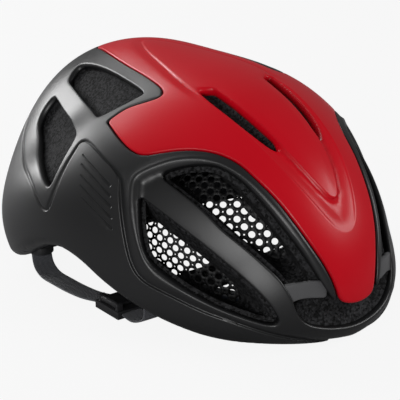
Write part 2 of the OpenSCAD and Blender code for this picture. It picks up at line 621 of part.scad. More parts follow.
crown_shell();
lower_shell();
foam_liner();
front_bridge(1);  // front_bridge_left
front_bridge(-1);  // front_bridge_right
bug_net(1);  // bug_net_left
bug_net(-1);  // bug_net_right
brow_pad();
pad(crown_pad_outline, pad_gap);  // crown_pad
pad(side_pad_outline, pad_gap);  // side_pad_left
pad(mirrored(side_pad_outline), pad_gap);  // side_pad_right
headband();
temple_anchor();  // temple_anchor_left
right_side() temple_anchor();  // temple_anchor_right
band_arm(1);  // band_arm_left
band_arm(-1);  // band_arm_right
cradle_yoke();
height_clip();  // height_clip_left
right_side() height_clip();  // height_clip_right
nape_pad();  // nape_pad_left
right_side() nape_pad();  // nape_pad_right
dial_housing();
dial_cover();
dial_knob();
dial_pinion();
strap_anchor(strap_front_a);  // strap_anchor_front_left
right_side() strap_anchor(strap_front_a);  // strap_anchor_front_right
strap_anchor(strap_rear_a);  // strap_anchor_rear_left
right_side() strap_anchor(strap_rear_a);  // strap_anchor_rear_right
front_strap();  // front_strap_left
right_side() front_strap();  // front_strap_right
rear_strap();  // rear_strap_left
right_side() rear_strap();  // rear_strap_right
divider();  // divider_left
right_side() divider();  // divider_right
divider_lever();  // divider_lever_left
right_side() divider_lever();  // divider_lever_right
chin_strap(buckle_out + 0.3);  // chin_strap_left
right_side() chin_strap(buckle_out - slot_deep + 0.8);  // chin_strap_right
buckle_base();
buckle_slider();
base_magnet();
slider_magnet();
strap_keeper();
chin_pad();
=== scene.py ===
import json
import math
import bmesh
import bpy
import numpy as np
from mathutils import Matrix, Vector, geometry, kdtree

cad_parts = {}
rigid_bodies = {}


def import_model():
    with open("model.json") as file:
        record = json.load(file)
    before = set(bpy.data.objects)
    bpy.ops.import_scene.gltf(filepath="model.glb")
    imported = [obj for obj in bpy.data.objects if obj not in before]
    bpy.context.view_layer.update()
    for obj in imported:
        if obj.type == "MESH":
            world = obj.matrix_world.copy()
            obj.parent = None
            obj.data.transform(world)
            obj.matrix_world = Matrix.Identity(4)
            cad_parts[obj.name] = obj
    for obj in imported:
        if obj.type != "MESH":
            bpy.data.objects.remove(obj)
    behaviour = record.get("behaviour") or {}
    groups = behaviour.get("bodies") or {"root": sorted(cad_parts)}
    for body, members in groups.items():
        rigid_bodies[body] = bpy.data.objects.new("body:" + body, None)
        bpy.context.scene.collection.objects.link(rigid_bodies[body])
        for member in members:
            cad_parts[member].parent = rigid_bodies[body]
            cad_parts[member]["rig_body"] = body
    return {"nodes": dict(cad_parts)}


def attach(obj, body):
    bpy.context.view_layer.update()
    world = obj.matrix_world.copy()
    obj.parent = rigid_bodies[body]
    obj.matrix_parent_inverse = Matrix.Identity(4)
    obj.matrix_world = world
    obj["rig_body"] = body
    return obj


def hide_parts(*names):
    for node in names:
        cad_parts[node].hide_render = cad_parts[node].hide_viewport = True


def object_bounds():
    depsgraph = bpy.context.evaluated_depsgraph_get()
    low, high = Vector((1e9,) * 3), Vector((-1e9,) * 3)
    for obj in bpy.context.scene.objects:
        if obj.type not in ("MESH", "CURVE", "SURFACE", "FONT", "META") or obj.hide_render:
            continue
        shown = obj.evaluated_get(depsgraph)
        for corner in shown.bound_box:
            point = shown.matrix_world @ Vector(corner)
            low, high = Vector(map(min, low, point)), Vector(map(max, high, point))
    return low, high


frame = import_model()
cad_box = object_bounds()

# ---------------------------------------------------------------------------
# The studio: a camera low at the helmet's right front, a plain pale floor that
# keeps the shadow, and four soft lamps overhead, in front and behind.
# ---------------------------------------------------------------------------
scene = bpy.context.scene
scene.view_settings.view_transform = "Standard"


def linked(name, data):
    """A new object in the scene."""
    made = bpy.data.objects.new(name, data)
    scene.collection.objects.link(made)
    return made


def deselect():
    bpy.ops.object.select_all(action="DESELECT")


eye = Vector((-0.5028, -0.6745, 0.3528))
aim = Vector((-0.0067, -0.0046, 0.0486))
tilt = math.radians(-0.62)
camera_data = bpy.data.cameras.new("camera")
camera_data.lens = 130.2
camera_data.sensor_width = 36
camera_data.clip_start = 0.05
camera = linked("camera", camera_data)
facing = (aim - eye).to_track_quat("-Z", "Y").to_matrix().to_4x4()
camera.matrix_world = Matrix.Translation(eye) @ facing @ Matrix.Rotation(tilt, 4, "Z")
scene.camera = camera


class Wire:
    """An output of a shader node that takes part in sums."""

    def __init__(self, tree, socket):
        self.tree, self.socket = tree, socket

    def math(self, operation, *others, clamp=False):
        return node(self.tree, "ShaderNodeMath", {"operation": operation, "use_clamp": clamp},
                    dict(enumerate((self,) + others)))

    def __add__(self, other):
        return self.math("ADD", other)

    def __mul__(self, other):
        return self.math("MULTIPLY", other)

    def __sub__(self, other):
        return self.math("SUBTRACT", other)

    def __rsub__(self, other):
        return node(self.tree, "ShaderNodeMath", {"operation": "SUBTRACT"}, {0: other, 1: self})

    def __pow__(self, other):
        return self.math("POWER", other)

    __radd__, __rmul__ = __add__, __mul__

    def over(self, low, high):
        """0 below low, 1 above high, and a smooth rise between."""
        return node(self.tree, "ShaderNodeMapRange", {"interpolation_type": "SMOOTHSTEP"},
                    {"Value": self, "From Min": low, "From Max": high})


def node(tree, kind, settings, inputs, output=0):
    """Adds a shader node, its settings first, and gives one of its outputs."""
    made = tree.nodes.new(kind)
    for key, value in settings.items():
        setattr(made, key, value)
    for key, value in inputs.items():
        if isinstance(value, Wire):
            tree.links.new(value.socket, made.inputs[key])
        else:
            made.inputs[key].default_value = value
    return Wire(tree, made.outputs[output])


def blended(tree, factor, dark, light):
    """A colour between two colours."""
    return node(tree, "ShaderNodeMix", {"data_type": "RGBA"}, {0: factor, 6: (*dark, 1), 7: (*light, 1)}, output=2)


def painted(name, **constants):
    """A new material with a Principled shader, whose constants sit on its own sockets."""
    made = bpy.data.materials.new(name)
    made.use_nodes = True
    shader = made.node_tree.nodes["Principled BSDF"]
    for key, value in constants.items():
        shader.inputs[key.replace("_", " ")].default_value = value
    return made, made.node_tree, shader


def feed(tree, shader, **wires):
    for key, wire in wires.items():
        tree.links.new(wire.socket, shader.inputs[key.replace("_", " ")])


def bumped(tree, height, strength, distance):
    return node(tree, "ShaderNodeBump", {}, {"Strength": strength, "Distance": distance, "Height": height})


def at(tree):
    return node(tree, "ShaderNodeTexCoord", {}, {}, output="Object")


def noise(tree, scale, detail=2.0, rough=0.5):
    return node(tree, "ShaderNodeTexNoise", {},
                {"Vector": at(tree), "Scale": scale, "Detail": detail, "Roughness": rough})


def ray(tree, kind):
    return node(tree, "ShaderNodeLightPath", {}, {}, output=kind)


floor_half = 12.0
floor_gap = 0.0002
floor_colour = (0.36, 0.36, 0.365, 1)
floor_glow = 0.9
ambient = 0.16
white = (1, 1, 1, 1)
deselect()
bpy.ops.mesh.primitive_plane_add(size=2 * floor_half, location=(0, 0, cad_box[0][2] - floor_gap))
floor = bpy.context.object
floor.name = "studio_floor"
floor_paint = bpy.data.materials.new("pale_floor")
floor_paint.use_nodes = True
tree = floor_paint.node_tree
tree.nodes.clear()
paper = node(tree, "ShaderNodeBsdfDiffuse", {}, {"Color": floor_colour})
glow = node(tree, "ShaderNodeEmission", {}, {"Color": white, "Strength": 1.0})
shown = node(tree, "ShaderNodeMixShader", {}, {0: ray(tree, "Is Camera Ray") * floor_glow, 1: paper, 2: glow})
tree.links.new(shown.socket, tree.nodes.new("ShaderNodeOutputMaterial").inputs["Surface"])
floor.data.materials.append(floor_paint)

world = bpy.data.worlds.new("studio")
scene.world = world
world.use_nodes = True
tree = world.node_tree
tree.nodes.clear()
seen = ray(tree, "Is Camera Ray").math("MAXIMUM", ray(tree, "Is Transmission Ray"))
air = node(tree, "ShaderNodeBackground", {}, {"Color": white, "Strength": seen * (1 - ambient) + ambient})
tree.links.new(air.socket, tree.nodes.new("ShaderNodeOutputWorld").inputs["Surface"])


def lamp(name, place, target, size, power):
    """A soft box at a place, turned to a target, with its sides in metres and its power in watts."""
    data = bpy.data.lights.new(name, "AREA")
    data.shape = "RECTANGLE"
    data.size, data.size_y = size
    data.energy = power
    made = linked(name, data)
    made.location = place
    made.rotation_euler = (Vector(target) - Vector(place)).to_track_quat("-Z", "Y").to_euler()


lamp("overhead", (-0.1, 0.95, 1.0), (0, 0, 0.08), (1.0, 0.45), 6.0)
lamp("front_left_box", (0.75, -0.85, 0.85), (0, 0, 0.06), (0.7, 0.5), 9.0)
lamp("front_right_box", (-0.98, -0.66, 0.38), (0, 0, 0.06), (0.45, 0.4), 6.5)
lamp("rear_right_box", (-0.45, 1.32, 0.52), (0, 0.05, 0.06), (0.6, 0.5), 12.5)

# ---------------------------------------------------------------------------
# Crown shell: thin polycarbonate, painted satin red and moulded over the foam.
# It is drawn on an egg-shaped dome, by angles from the pole: [left, rear].
# A raised spine runs to a point between two slots in a sunken valley.
# ---------------------------------------------------------------------------
MM = 0.001
centre_z = 35.87
nose_down = math.radians(6.4)
shell_half_w, shell_front, shell_rear, shell_top = 107.5, 142.5, 140, 98
depth_front, depth_rear = 60, 88
rear_flare, rear_drop = 0.18, 0.024
rear_bulge, flank_hollow = 0.105, 0.13
head_half_w, head_front, head_rear, head_top, head_depth, head_flare = 77, 105, 103, 69, 207, 0.1
plan_power, shell_powers, head_power = 2.06, (2.0, 2.15), 2.2
chart_r = 118.0
wall = 1.2
crown_step = 1.15
valley_step, valley_deep, crease_deep, ridge_high = 0.5, 2.4, 0.9, 0.5


def ease(x, width):
    """0 far below zero, 1 far above it."""
    return 1 / (1 + np.exp(-2 * x / width))


def mix(a, b, t):
    return a * (1 - t) + b * t


def hill(uv, left, rear, wide, long):
    """A smooth rise to 1 at a place and at its mirror image."""
    return np.exp(-((np.abs(uv[:, 0]) - left) / wide) ** 2 - ((uv[:, 1] - rear) / long) ** 2)


def direction(uv):
    """Unit vectors in the dome's own frame from chart places."""
    rho = np.radians(np.maximum(np.hypot(uv[:, 0], uv[:, 1]), 1e-9))
    s = np.radians(np.sin(rho) / rho)
    return np.stack([s * uv[:, 0], s * uv[:, 1], np.cos(rho)], 1)


def egg(d, half_w, front, rear, top, depth, front_power, rear_power):
    """Radius of an egg with its own front, rear, top and bottom, along unit vectors."""
    t = ease(d[:, 1], 0.5)
    power = mix(front_power, rear_power, t)
    long = np.abs(d[:, 1] / mix(front, rear, t)) ** plan_power
    across = (np.abs(d[:, 0] / half_w) ** plan_power + long) ** (1 / plan_power)
    up = mix(depth, top, ease(d[:, 2], 0.3))
    return (across ** power + np.abs(d[:, 2] / up) ** power) ** (-1 / power)


def shell_r(uv):
    """Radius in mm of the plain dome: wider and lower to the rear, full behind and hollow at the flanks."""
    d = direction(uv)
    base = egg(d, shell_half_w * (1 + rear_flare * d[:, 1]), shell_front, shell_rear,
               shell_top * (1 - rear_drop * d[:, 1]), mix(depth_front, depth_rear, ease(d[:, 1], 0.5)),
               *shell_powers)
    return base * (1 + rear_bulge * hill(uv, 0, 55, 35, 25) - flank_hollow * hill(uv, 45, 40, 20, 25))


def head_r(uv):
    """Radius in mm of the hollow for the head."""
    d = direction(uv)
    return egg(d, head_half_w * (1 + head_flare * d[:, 1]), head_front, head_rear, head_top, head_depth,
               head_power, head_power)


def placed(uv, radius):
    """Chart places at radii in mm, as points of the frame in metres."""
    p = direction(uv) * np.reshape(radius, (-1, 1))
    c, s = math.cos(nose_down), math.sin(nose_down)
    return np.stack([p[:, 0], p[:, 1] * c - p[:, 2] * s, p[:, 1] * s + p[:, 2] * c + centre_z], 1) * MM


def travel(line):
    """How far along a line of the chart each of its points is."""
    return np.concatenate([[0], np.cumsum(np.hypot(*np.diff(line, axis=0).T))])


def walked(line, run, stops):
    """The places on a line at some distances along it."""
    return np.stack([np.interp(stops, run, column) for column in line.T], 1)


def even(line, step, closed=True):
    """A line's points, spaced evenly."""
    line = np.asarray(line, float)
    if closed:
        line = np.vstack([line, line[:1]])
    run = travel(line)
    out = walked(line, run, np.linspace(0, run[-1], max(3, int(math.ceil(run[-1] / step))) + 1))
    return out[:-1] if closed else out


def curve(points, corner=2.0, step=0.8, closed=True):
    """An outline through given points: long arcs where it bends gently, short ones at corners."""
    points = [np.array(p, float) for p in points]
    out = []
    for i, p in enumerate(points):
        if not closed and i in (0, len(points) - 1):
            out.append(p)
            continue
        back, on = points[i - 1] - p, points[(i + 1) % len(points)] - p
        lb, lo = np.linalg.norm(back), np.linalg.norm(on)
        gentle = back @ on / lb / lo < -0.75
        a = p + back * (0.5 if gentle else min(0.5, corner / lb))
        b = p + on * (0.5 if gentle else min(0.5, corner / lo))
        for t in np.linspace(0, 1, 7):
            out.append((1 - t) ** 2 * a + 2 * t * (1 - t) * p + t * t * b)
    keep = [out[0]] + [q for p, q in zip(out, out[1:]) if np.hypot(*(q - p)) > 1e-6]
    return even(keep, step, closed)


def flipped(line):
    """The same line on the wearer's right."""
    return np.array(line, float)[::-1] * [-1, 1]


def both_halves(half):
    """A closed outline from its left half, which starts and ends on the centre line or near it."""
    half = np.array(half, float)
    other = flipped(half)
    other = other[np.abs(other[:, 0]) > 0.01]
    return np.vstack([half, other])


def inside(uv, line):
    """Which places lie inside a closed outline."""
    x, y = uv[:, 0], uv[:, 1]
    found = np.zeros(len(uv), bool)
    for (ax, ay), (bx, by) in zip(line, np.roll(line, -1, axis=0)):
        if ay == by:
            continue
        crosses = (ay > y) != (by > y)
        found ^= crosses & (x < (bx - ax) * (y - ay) / (by - ay) + ax)
    return found


def within(uv, outline, holes):
    """Which places lie inside an outline and outside its holes."""
    found = inside(uv, outline)
    for hole in holes:
        found &= ~inside(uv, hole)
    return found


def reach(uv, line, closed=True):
    """Distance in mm over the shell from each place to a line."""
    p = direction(uv) * chart_r
    q = direction(np.asarray(line, float)) * chart_r
    a, b = (q, np.roll(q, -1, axis=0)) if closed else (q[:-1], q[1:])
    ab = b - a
    length = np.maximum((ab ** 2).sum(1), 1e-12)
    best = np.empty(len(uv))
    batch = 4000
    for i in range(0, len(uv), batch):
        ap = p[i:i + batch, None, :] - a[None]
        t = np.clip((ap * ab[None]).sum(2) / length, 0, 1)
        best[i:i + batch] = np.sqrt(((ap - t[..., None] * ab[None]) ** 2).sum(2)).min(1)
    return best


def signed(uv, line):
    """Distance in mm to a closed outline: positive inside it."""
    return reach(uv, line) * np.where(inside(uv, line), 1, -1)


def smooth(x, low, high):
    """0 below low, 1 above high, and a smooth rise between."""
    t = np.clip((x - low) / (high - low), 0, 1)
    return t * t * (3 - 2 * t)


def turning(line):
    """Positive for a closed line that turns one way round, negative for the other."""
    return (line[:, 0] * np.roll(line[:, 1], -1) - line[:, 1] * np.roll(line[:, 0], -1)).sum()


def offset(line, mm):
    """A closed outline moved inwards by a distance in mm, or outwards if that is negative."""
    line = np.asarray(line, float)
    tangent = np.roll(line, -1, axis=0) - np.roll(line, 1, axis=0)
    tangent /= np.maximum(np.hypot(*tangent.T), 1e-9)[:, None]
    normal = np.stack([-tangent[:, 1], tangent[:, 0]], 1) * (1 if turning(line) > 0 else -1)
    rho = np.radians(np.maximum(np.hypot(*line.T), 1e-6))
    radial = line / np.hypot(*line.T)[:, None]
    along = (normal * radial).sum(1, keepdims=True) * radial
    side = normal - along
    moved = along + side * (rho / np.sin(rho))[:, None]
    mm_per_degree = chart_r * math.pi / 180
    stretch = np.hypot(*(along + side * (np.sin(rho) / rho)[:, None]).T)
    return line + moved * mm / mm_per_degree / stretch[:, None]


def sheet(outline, holes, spacing, rows=()):
    """Triangles over a chart region: its places, its faces, and the places' numbers on each edge."""
    loops, points = [], []
    for loop in [outline] + list(holes):
        loops.append(np.arange(len(points), len(points) + len(loop)))
        points.extend(map(tuple, loop))
    edges = [(int(a), int(b)) for loop in loops for a, b in zip(loop, np.roll(loop, -1))]

    def free(candidates, gap):
        """Those inside the region that lie clear of the points so far."""
        candidates = np.asarray(candidates, float)
        taken = kdtree.KDTree(len(points))
        for i, p in enumerate(points):
            taken.insert((p[0], p[1], 0), i)
        taken.balance()
        return [tuple(p) for p in candidates[within(candidates, outline, holes)]
                if taken.find((p[0], p[1], 0))[2] > gap]

    for row, gap in rows:
        points.extend(free(row, gap))
    (u0, v0), (u1, v1) = np.min(outline, 0), np.max(outline, 0)
    lattice = []
    row_share = 0.866
    for j, v in enumerate(np.arange(v0, v1, spacing * row_share)):
        shift = spacing / 2 if j % 2 else 0
        lattice.extend((u, v) for u in np.arange(-math.ceil(-u0 / spacing) * spacing + shift, u1, spacing))
    points.extend(free(lattice, spacing * 0.6))
    verts, _, faces, origin, _, _ = geometry.delaunay_2d_cdt([Vector(p) for p in points], edges, [], 0, 1e-7)
    verts = np.array([tuple(v) for v in verts])
    number = {i: k for k, own in enumerate(origin) for i in own}
    faces = np.array([f for f in faces if len(f) == 3])
    keep = within(verts[faces].mean(1), outline, holes)
    return verts, faces[keep], [np.array([number[int(i)] for i in loop]) for loop in loops]


def chosen(piece):
    """Makes a piece the only one that operators act on."""
    deselect()
    bpy.context.view_layer.objects.active = piece
    piece.select_set(True)


def merged(mesh, gap, outwards):
    """Joins a mesh's doubled points, and turns its faces outwards if asked."""
    shape = bmesh.new()
    shape.from_mesh(mesh)
    bmesh.ops.remove_doubles(shape, verts=shape.verts, dist=gap)
    if outwards:
        bmesh.ops.recalc_face_normals(shape, faces=shape.faces)
    shape.to_mesh(mesh)
    shape.free()


class Build:
    """Collects points and faces, in metres, and makes one mesh object of them."""

    def __init__(self):
        self.points, self.faces, self.count = [], [], 0

    def add(self, points):
        start = self.count
        self.points.append(points)
        self.count += len(points)
        return np.arange(start, self.count)

    def fill(self, triangles, numbers):
        self.faces.extend(tuple(int(numbers[i]) for i in t) for t in triangles)

    def wall(self, rows):
        """Quads between rows of points that all have the same count and close on themselves."""
        for a, b in zip(rows, rows[1:]):
            for i in range(len(a)):
                j = (i + 1) % len(a)
                self.faces.append((int(a[i]), int(b[i]), int(b[j]), int(a[j])))

    def made(self, name, material, slot):
        mesh = bpy.data.meshes.new(name)
        mesh.from_pydata(np.vstack(self.points).tolist(), [], self.faces)
        merged(mesh, 1e-6, outwards=True)
        piece = linked(name, mesh)
        mesh.materials.append(material)
        mesh.shade_smooth()
        return piece


def modifier(piece, kind, **settings):
    """Adds a modifier and applies it."""
    made = piece.modifiers.new(kind.lower(), kind)
    for key, value in settings.items():
        setattr(made, key, value)
    chosen(piece)
    bpy.ops.object.modifier_apply(modifier=made.name)


def thickened(piece, thickness):
    """Gives a skin its wall, in mm, on the inside."""
    modifier(piece, "SOLIDIFY", thickness=thickness * MM, offset=-1, use_even_offset=False)


def rolled(gap, radius):
    """How far a rounded edge drops, by the distance in from it."""
    x = np.clip(gap, 0, radius)
    return radius - np.sqrt(radius ** 2 - (radius - x) ** 2)


def edge_rows(line, radius, shares=(0.06, 0.2, 0.42, 0.7, 1.0), gap=0.12):
    """Rows of points beside an edge, where it turns over: inside it, or outside for a radius below zero."""
    return [(offset(line, radius * k), gap) for k in shares]


def flank_rows(line, widths=(-1.2, -0.6, -0.2, 0.2, 0.6, 1.2), gap=0.12):
    """Rows of points on both sides of a closed line, where the surface changes."""
    return [(offset(line, w), gap) for w in widths]


crown_half = [(0, -87.7), (4, -87.3), (7.6, -86.1), (10.7, -77.6), (13.6, -71.6), (16.1, -64.8), (18.1, -58),
              (20.7, -50.7), (22.1, -45.5), (24.4, -40.8), (27.6, -36.2), (32.1, -31.4), (37.6, -26.5),
              (45.2, -20), (46.8, -14), (46.2, -6), (43.6, 4.6), (36, 2.4), (31.4, -1.6), (26, -4.8), (23, -2),
              (21.6, 8), (19.6, 20), (17.2, 30.5), (14, 40), (8.6, 51.5), (0, 54)]
crown_edge = curve(both_halves(crown_half), corner=2.2)
slot_left = curve([(10.6, -14.4), (9.9, -22), (9.4, -30), (8.5, -38), (7.4, -44.5), (8.6, -46.6), (11.2, -44),
                   (13.8, -36), (15.2, -27), (15.9, -18), (15.6, -12.6), (14.2, -12)], corner=1.2, step=0.5)
valley_edge = curve(both_halves([(0, -71.5), (3.6, -70), (6.6, -65.5), (10.2, -57), (13.2, -46.3), (15.4, -34),
                                 (16.6, -22), (17, -10), (15.6, 2), (10.8, 19), (6, 32), (0, 40)]), corner=3)
spine_edge = curve(both_halves([(0, -63), (1.9, -61.8), (4.6, -56), (6.9, -47.5), (8.2, -38), (9.2, -29), (9.8, -20),
                                (10.4, -13.5), (15.5, -9), (15.2, 2), (10.4, 19), (5.6, 32), (0, 39)]), corner=1.5)
crown_gap = 0.35
crown_roll = 1.5
slot_roll = 1.6
edge_turn, slot_turn = (2.0, 0.0), (3.0, 0.25)


def crown_relief(uv):
    """How far the surface lies above the plain dome, in mm."""
    valley = signed(uv, valley_edge)
    spine = signed(uv, spine_edge)
    front = 1 - smooth(uv[:, 1], -24, -6)
    sunk = valley_step * smooth(valley, -0.3, 0.8) + valley_deep * smooth(valley, 0, 9)
    sunk = sunk * (1 - smooth(spine, -2.2, 0.3))
    crease = crease_deep * (1 - front) * (smooth(valley, -7, 0) - smooth(valley, 0, 1.2))
    ridge = ridge_high * smooth(spine, 0, 6) * front
    return ridge - sunk * smooth(uv[:, 1], -73, -66) * front - crease


edge = offset(crown_edge, crown_gap)
slots = [slot_left, flipped(slot_left)]
rows = edge_rows(edge, crown_roll) + flank_rows(valley_edge) + flank_rows(spine_edge)
for slot_line in slots:
    rows += edge_rows(slot_line, -slot_roll)
uv, faces, loops = sheet(edge, slots, crown_step, rows)
drop = rolled(reach(uv, edge), crown_roll)
for slot_line in slots:
    drop = drop + rolled(reach(uv, slot_line), slot_roll)
radius = shell_r(uv) + crown_relief(uv) - drop
crown = Build()
numbers = crown.add(placed(uv, radius))
crown.fill(faces, numbers)
for loop, line, (deep, lean) in zip(loops, [edge] + slots, (edge_turn, slot_turn, slot_turn)):
    crown.wall([numbers[loop]] + [crown.add(placed(offset(line, lean * k), radius[loop] - deep * k))
                                  for k in (0.35, 1.0)])

red_paint, tree, shader = painted("satin_red", Roughness=0.4, Specular_IOR_Level=0.22, Coat_Weight=0.08,
                                  Coat_Roughness=0.3)
grain = noise(tree, 2200, 2)
cloud = noise(tree, 14, 2)
feed(tree, shader, Base_Color=blended(tree, cloud, (0.47, 0.0, 0.006), (0.56, 0.002, 0.012)),
     Roughness=grain * 0.05 + 0.30, Normal=bumped(tree, grain, 0.06, 0.0002))
crown_piece = crown.made("crown_shell_skin", red_paint, "red_shell")
thickened(crown_piece, wall)
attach(crown_piece, "helmet")
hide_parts("crown_shell")

# ---------------------------------------------------------------------------
# Lower shell: matt black polycarbonate all round the helmet, rolled under at
# the rim. Ribs frame its vents, and five engraved slits mark each flank.
# ---------------------------------------------------------------------------
rim_rows = [(0, 98), (18, 99), (32, 102.1), (43, 101.6), (56, 98.8), (71, 93.5), (83, 87.5), (95, 88), (104, 94),
            (116, 102), (128, 108), (142, 112), (152, 109.5), (161, 101), (169, 95.5), (180, 94.5)]


def rim(a):
    """Angle from the pole to the rim, by the angle round from the front."""
    folded = np.abs((np.asarray(a)[..., None] + [-6, -3, 0, 3, 6] + 180) % 360 - 180)
    return np.interp(folded, *zip(*rim_rows)).mean(-1)


def round_chart(a, theta):
    """Chart places from the angle round from the front and the angle from the pole."""
    return np.stack([theta * np.sin(np.radians(a)), -theta * np.cos(np.radians(a))], -1)


around = np.arange(0, 360, 1.0)
rim_line = round_chart(around, rim(around))
mouth_half = [(8.6, -84.2), (9.3, -85.4), (10.4, -84.9), (12.2, -82.2), (14.3, -78.3), (16.9, -72), (19.9, -64.6),
              (22.5, -56), (24.8, -48.2), (27.9, -42.1), (30.3, -39.2), (34.7, -35.5), (39.6, -32.1), (43.4, -29.9),
              (44.9, -30.8), (43.4, -37.3), (38.6, -51.4), (36.8, -57.5), (31.7, -66.2), (27.8, -72.4), (25.3, -75.9),
              (24, -79), (23, -82.2), (22.9, -84.9), (20.5, -88.3), (16.4, -90.4), (9.5, -92.3), (0, -93.5)]
front_half = [p for p in reversed(crown_half) if p[1] > -80] + mouth_half
front_mouth = curve(both_halves(front_half), corner=1.6)
lower_vent = curve([(54.8, -28.6), (52, -39.9), (48.1, -50.8), (41.8, -63.8), (35.5, -73.8), (32.1, -78.8),
                    (30, -82.6), (28.8, -86.1), (31.8, -86.4), (38.3, -83), (47.4, -76.3), (54.4, -69),
                    (60.9, -59.8), (65.6, -49.2), (65.4, -42.9), (61.9, -36.4), (56.3, -29.4)], corner=1.6)
rear_upper = curve([(27.5, 46.9), (23.5, 47.6), (21, 46.9), (20.2, 45.4), (20.8, 38.2), (22.8, 28.4), (25.5, 16.2),
                    (26.9, 7.4), (27.8, 3), (28.9, 2.3), (34.3, 4.1), (39.2, 7.2), (42.3, 9.7), (43.1, 11.3),
                    (42.7, 14.4), (37.2, 30), (32.9, 38.5)], corner=1.6)
rear_lower = curve([(32.4, 50.9), (34.9, 47.7), (40.5, 40.7), (47.2, 26.5), (50.5, 16.7), (52.6, 13.8), (57.9, 12.4),
                    (63.7, 11.7), (69.3, 11.7), (70.4, 13.4), (68.9, 17.3), (63.8, 26.6), (55.9, 42), (45.9, 52.4),
                    (40.7, 54.8), (36.1, 54)], corner=1.6)
ridge_line = curve(both_halves([(7, -86), (11, -80), (15, -71.8), (19, -61), (22.7, -49.5), (26.3, -42), (31, -36),
                                (38, -30), (45.5, -25.5), (49.8, -23.2), (52.1, -22.8), (54.5, -24.4), (57.4, -27.2),
                                (61.2, -31.9), (65, -38.5), (67.6, -46.5), (65, -56), (55.5, -69.5), (43, -81.3),
                                (33, -87.5), (25, -90.5), (15, -94.5), (0, -97)]), corner=3)
crease_line = curve(both_halves([(0, -101), (3.2, -98.8), (20.1, -94.2), (33, -89), (44.7, -81.5), (56.4, -72.5),
                                 (67.1, -58.7), (72.9, -48.2), (72.6, -40.2), (66.5, -30.5), (60.5, -22.8),
                                 (56.4, -18.6), (54.8, -15.7), (54.2, -5.5), (52.3, 5.4), (53.2, 8.7), (57, 8.2),
                                 (64.2, 7.8), (70.9, 7.3), (76.3, 8.2), (77.7, 10.1), (77.2, 13.7), (74.2, 18.8),
                                 (69.8, 26), (62, 43.5), (52, 56.5), (42, 63), (28, 66), (12, 66.5), (0, 66)]),
                    corner=1.6)
slits = [((56.7, 3.1), (59.2, -16.0)), ((59.4, 0.9), (61.6, -18.4)), ((62.4, -1.6), (64, -21)),
         ((65.1, -3.7), (66.6, -23.5)), ((67.8, -5.9), (69.1, -26.1))]
slit_fine, slit_wide, slit_deep = 0.5, 0.5, 0.8
slit_field = (52, 74, -30, 7)
slit_r = 112
lower_step = 1.3
cove_rear, cove_front, strut_deep, crest_high, crest_half = 1.1, 1.5, 3.2, 0.7, 1.8
rim_roll = 6.5
vent_roll = 1.3
seam_roll = 0.7
flange = 2.6
rim_tuck = [(0.0, 1.5), (0.0, 4.0), (1.2, 5.6), (3.2, 6.2)]


def slit_relief(uv):
    """Depth of the engraved slits: each starts as a hairline and widens to its front end."""
    depth = np.zeros(len(uv))
    side = np.stack([np.abs(uv[:, 0]), uv[:, 1]], 1)
    left, right, front, rear = slit_field
    near = (side[:, 0] > left) & (side[:, 0] < right) & (side[:, 1] > front) & (side[:, 1] < rear)
    p = direction(side[near]) * slit_r
    for start, end in slits:
        a, b = direction(np.array([start, end])) * slit_r
        run = b - a
        t = np.clip(((p - a) @ run) / (run @ run), 0, 1)
        nearest = a + t[:, None] * run
        nearest *= slit_r / np.linalg.norm(nearest, axis=1)[:, None]
        away = np.linalg.norm(p - nearest, axis=1)
        cut = np.clip(1.1 * (1 - away / (slit_fine + slit_wide * t)), 0, 1)
        depth[near] = np.maximum(depth[near], slit_deep * (0.75 + 0.25 * t) * cut)
    return depth


def lower_relief(uv):
    """How far the lower shell lies above the plain dome, in mm."""
    crease = signed(uv, crease_line)
    ridge = signed(uv, ridge_line)
    front = 1 - smooth(uv[:, 1], -24, -10)
    deep = mix(cove_rear, cove_front, front)
    cove = deep * smooth(crease, -0.3, 0.3) * (1 - smooth(crease, 0.4, mix(1.9, 7.5, front)))
    strut = strut_deep * smooth(ridge, 0.6, 6.5) * (1 - smooth(-uv[:, 1], 68, 84))
    crest = crest_high * np.exp(-(ridge / crest_half) ** 2) * front
    return crest - cove - strut - slit_relief(uv)


def along(line, offsets, step):
    """Rows of points beside a short straight line in the chart."""
    a, b = (np.array(p, float) for p in line)
    way = (b - a) / np.hypot(*(b - a))
    side = np.array([-way[1], way[0]])
    stops = np.arange(-1.0, np.hypot(*(b - a)) + 1.5, step)
    return np.vstack([a + way * stops[:, None] + side * o for o in offsets])


crown_side = offset(front_mouth, -crown_gap)
lower_holes = [crown_side]
for line in (lower_vent, rear_upper, rear_lower):
    lower_holes += [line, flipped(line)]
rows = edge_rows(rim_line, rim_roll, (0.03, 0.1, 0.22, 0.38, 0.58, 0.8, 1.0), 0.35)
for line in lower_holes:
    rows += edge_rows(line, -vent_roll)
rows += flank_rows(crease_line, (-1.6, -0.8, -0.35, 0, 0.35, 0.8, 1.6, 3.2), 0.14)
rows += flank_rows(ridge_line, (-3, -1.5, 0, 1.5, 3, 4.5), 0.3)
for line in slits:
    points = along(line, (-0.75, -0.5, -0.34, -0.17, 0, 0.17, 0.34, 0.5, 0.75), 0.3)
    rows += [(points, 0.1), (points * [-1, 1], 0.1)]
uv, faces, loops = sheet(rim_line, lower_holes, lower_step, rows)
drop = rolled(reach(uv, rim_line), rim_roll)
for line in lower_holes:
    gap = reach(uv, line)
    if line is crown_side:  # the edge is tighter where it meets the crown
        tight = mix(vent_roll, seam_roll, 1 - smooth(reach(uv, crown_edge), 0.5, 1.5))
        drop = drop + rolled(gap * vent_roll / tight, vent_roll) * tight / vent_roll
    else:
        drop = drop + rolled(gap, vent_roll)
radius = shell_r(uv) + lower_relief(uv) - drop
lower = Build()
numbers = lower.add(placed(uv, radius))
lower.fill(faces, numbers)
rim_loop = loops[0]
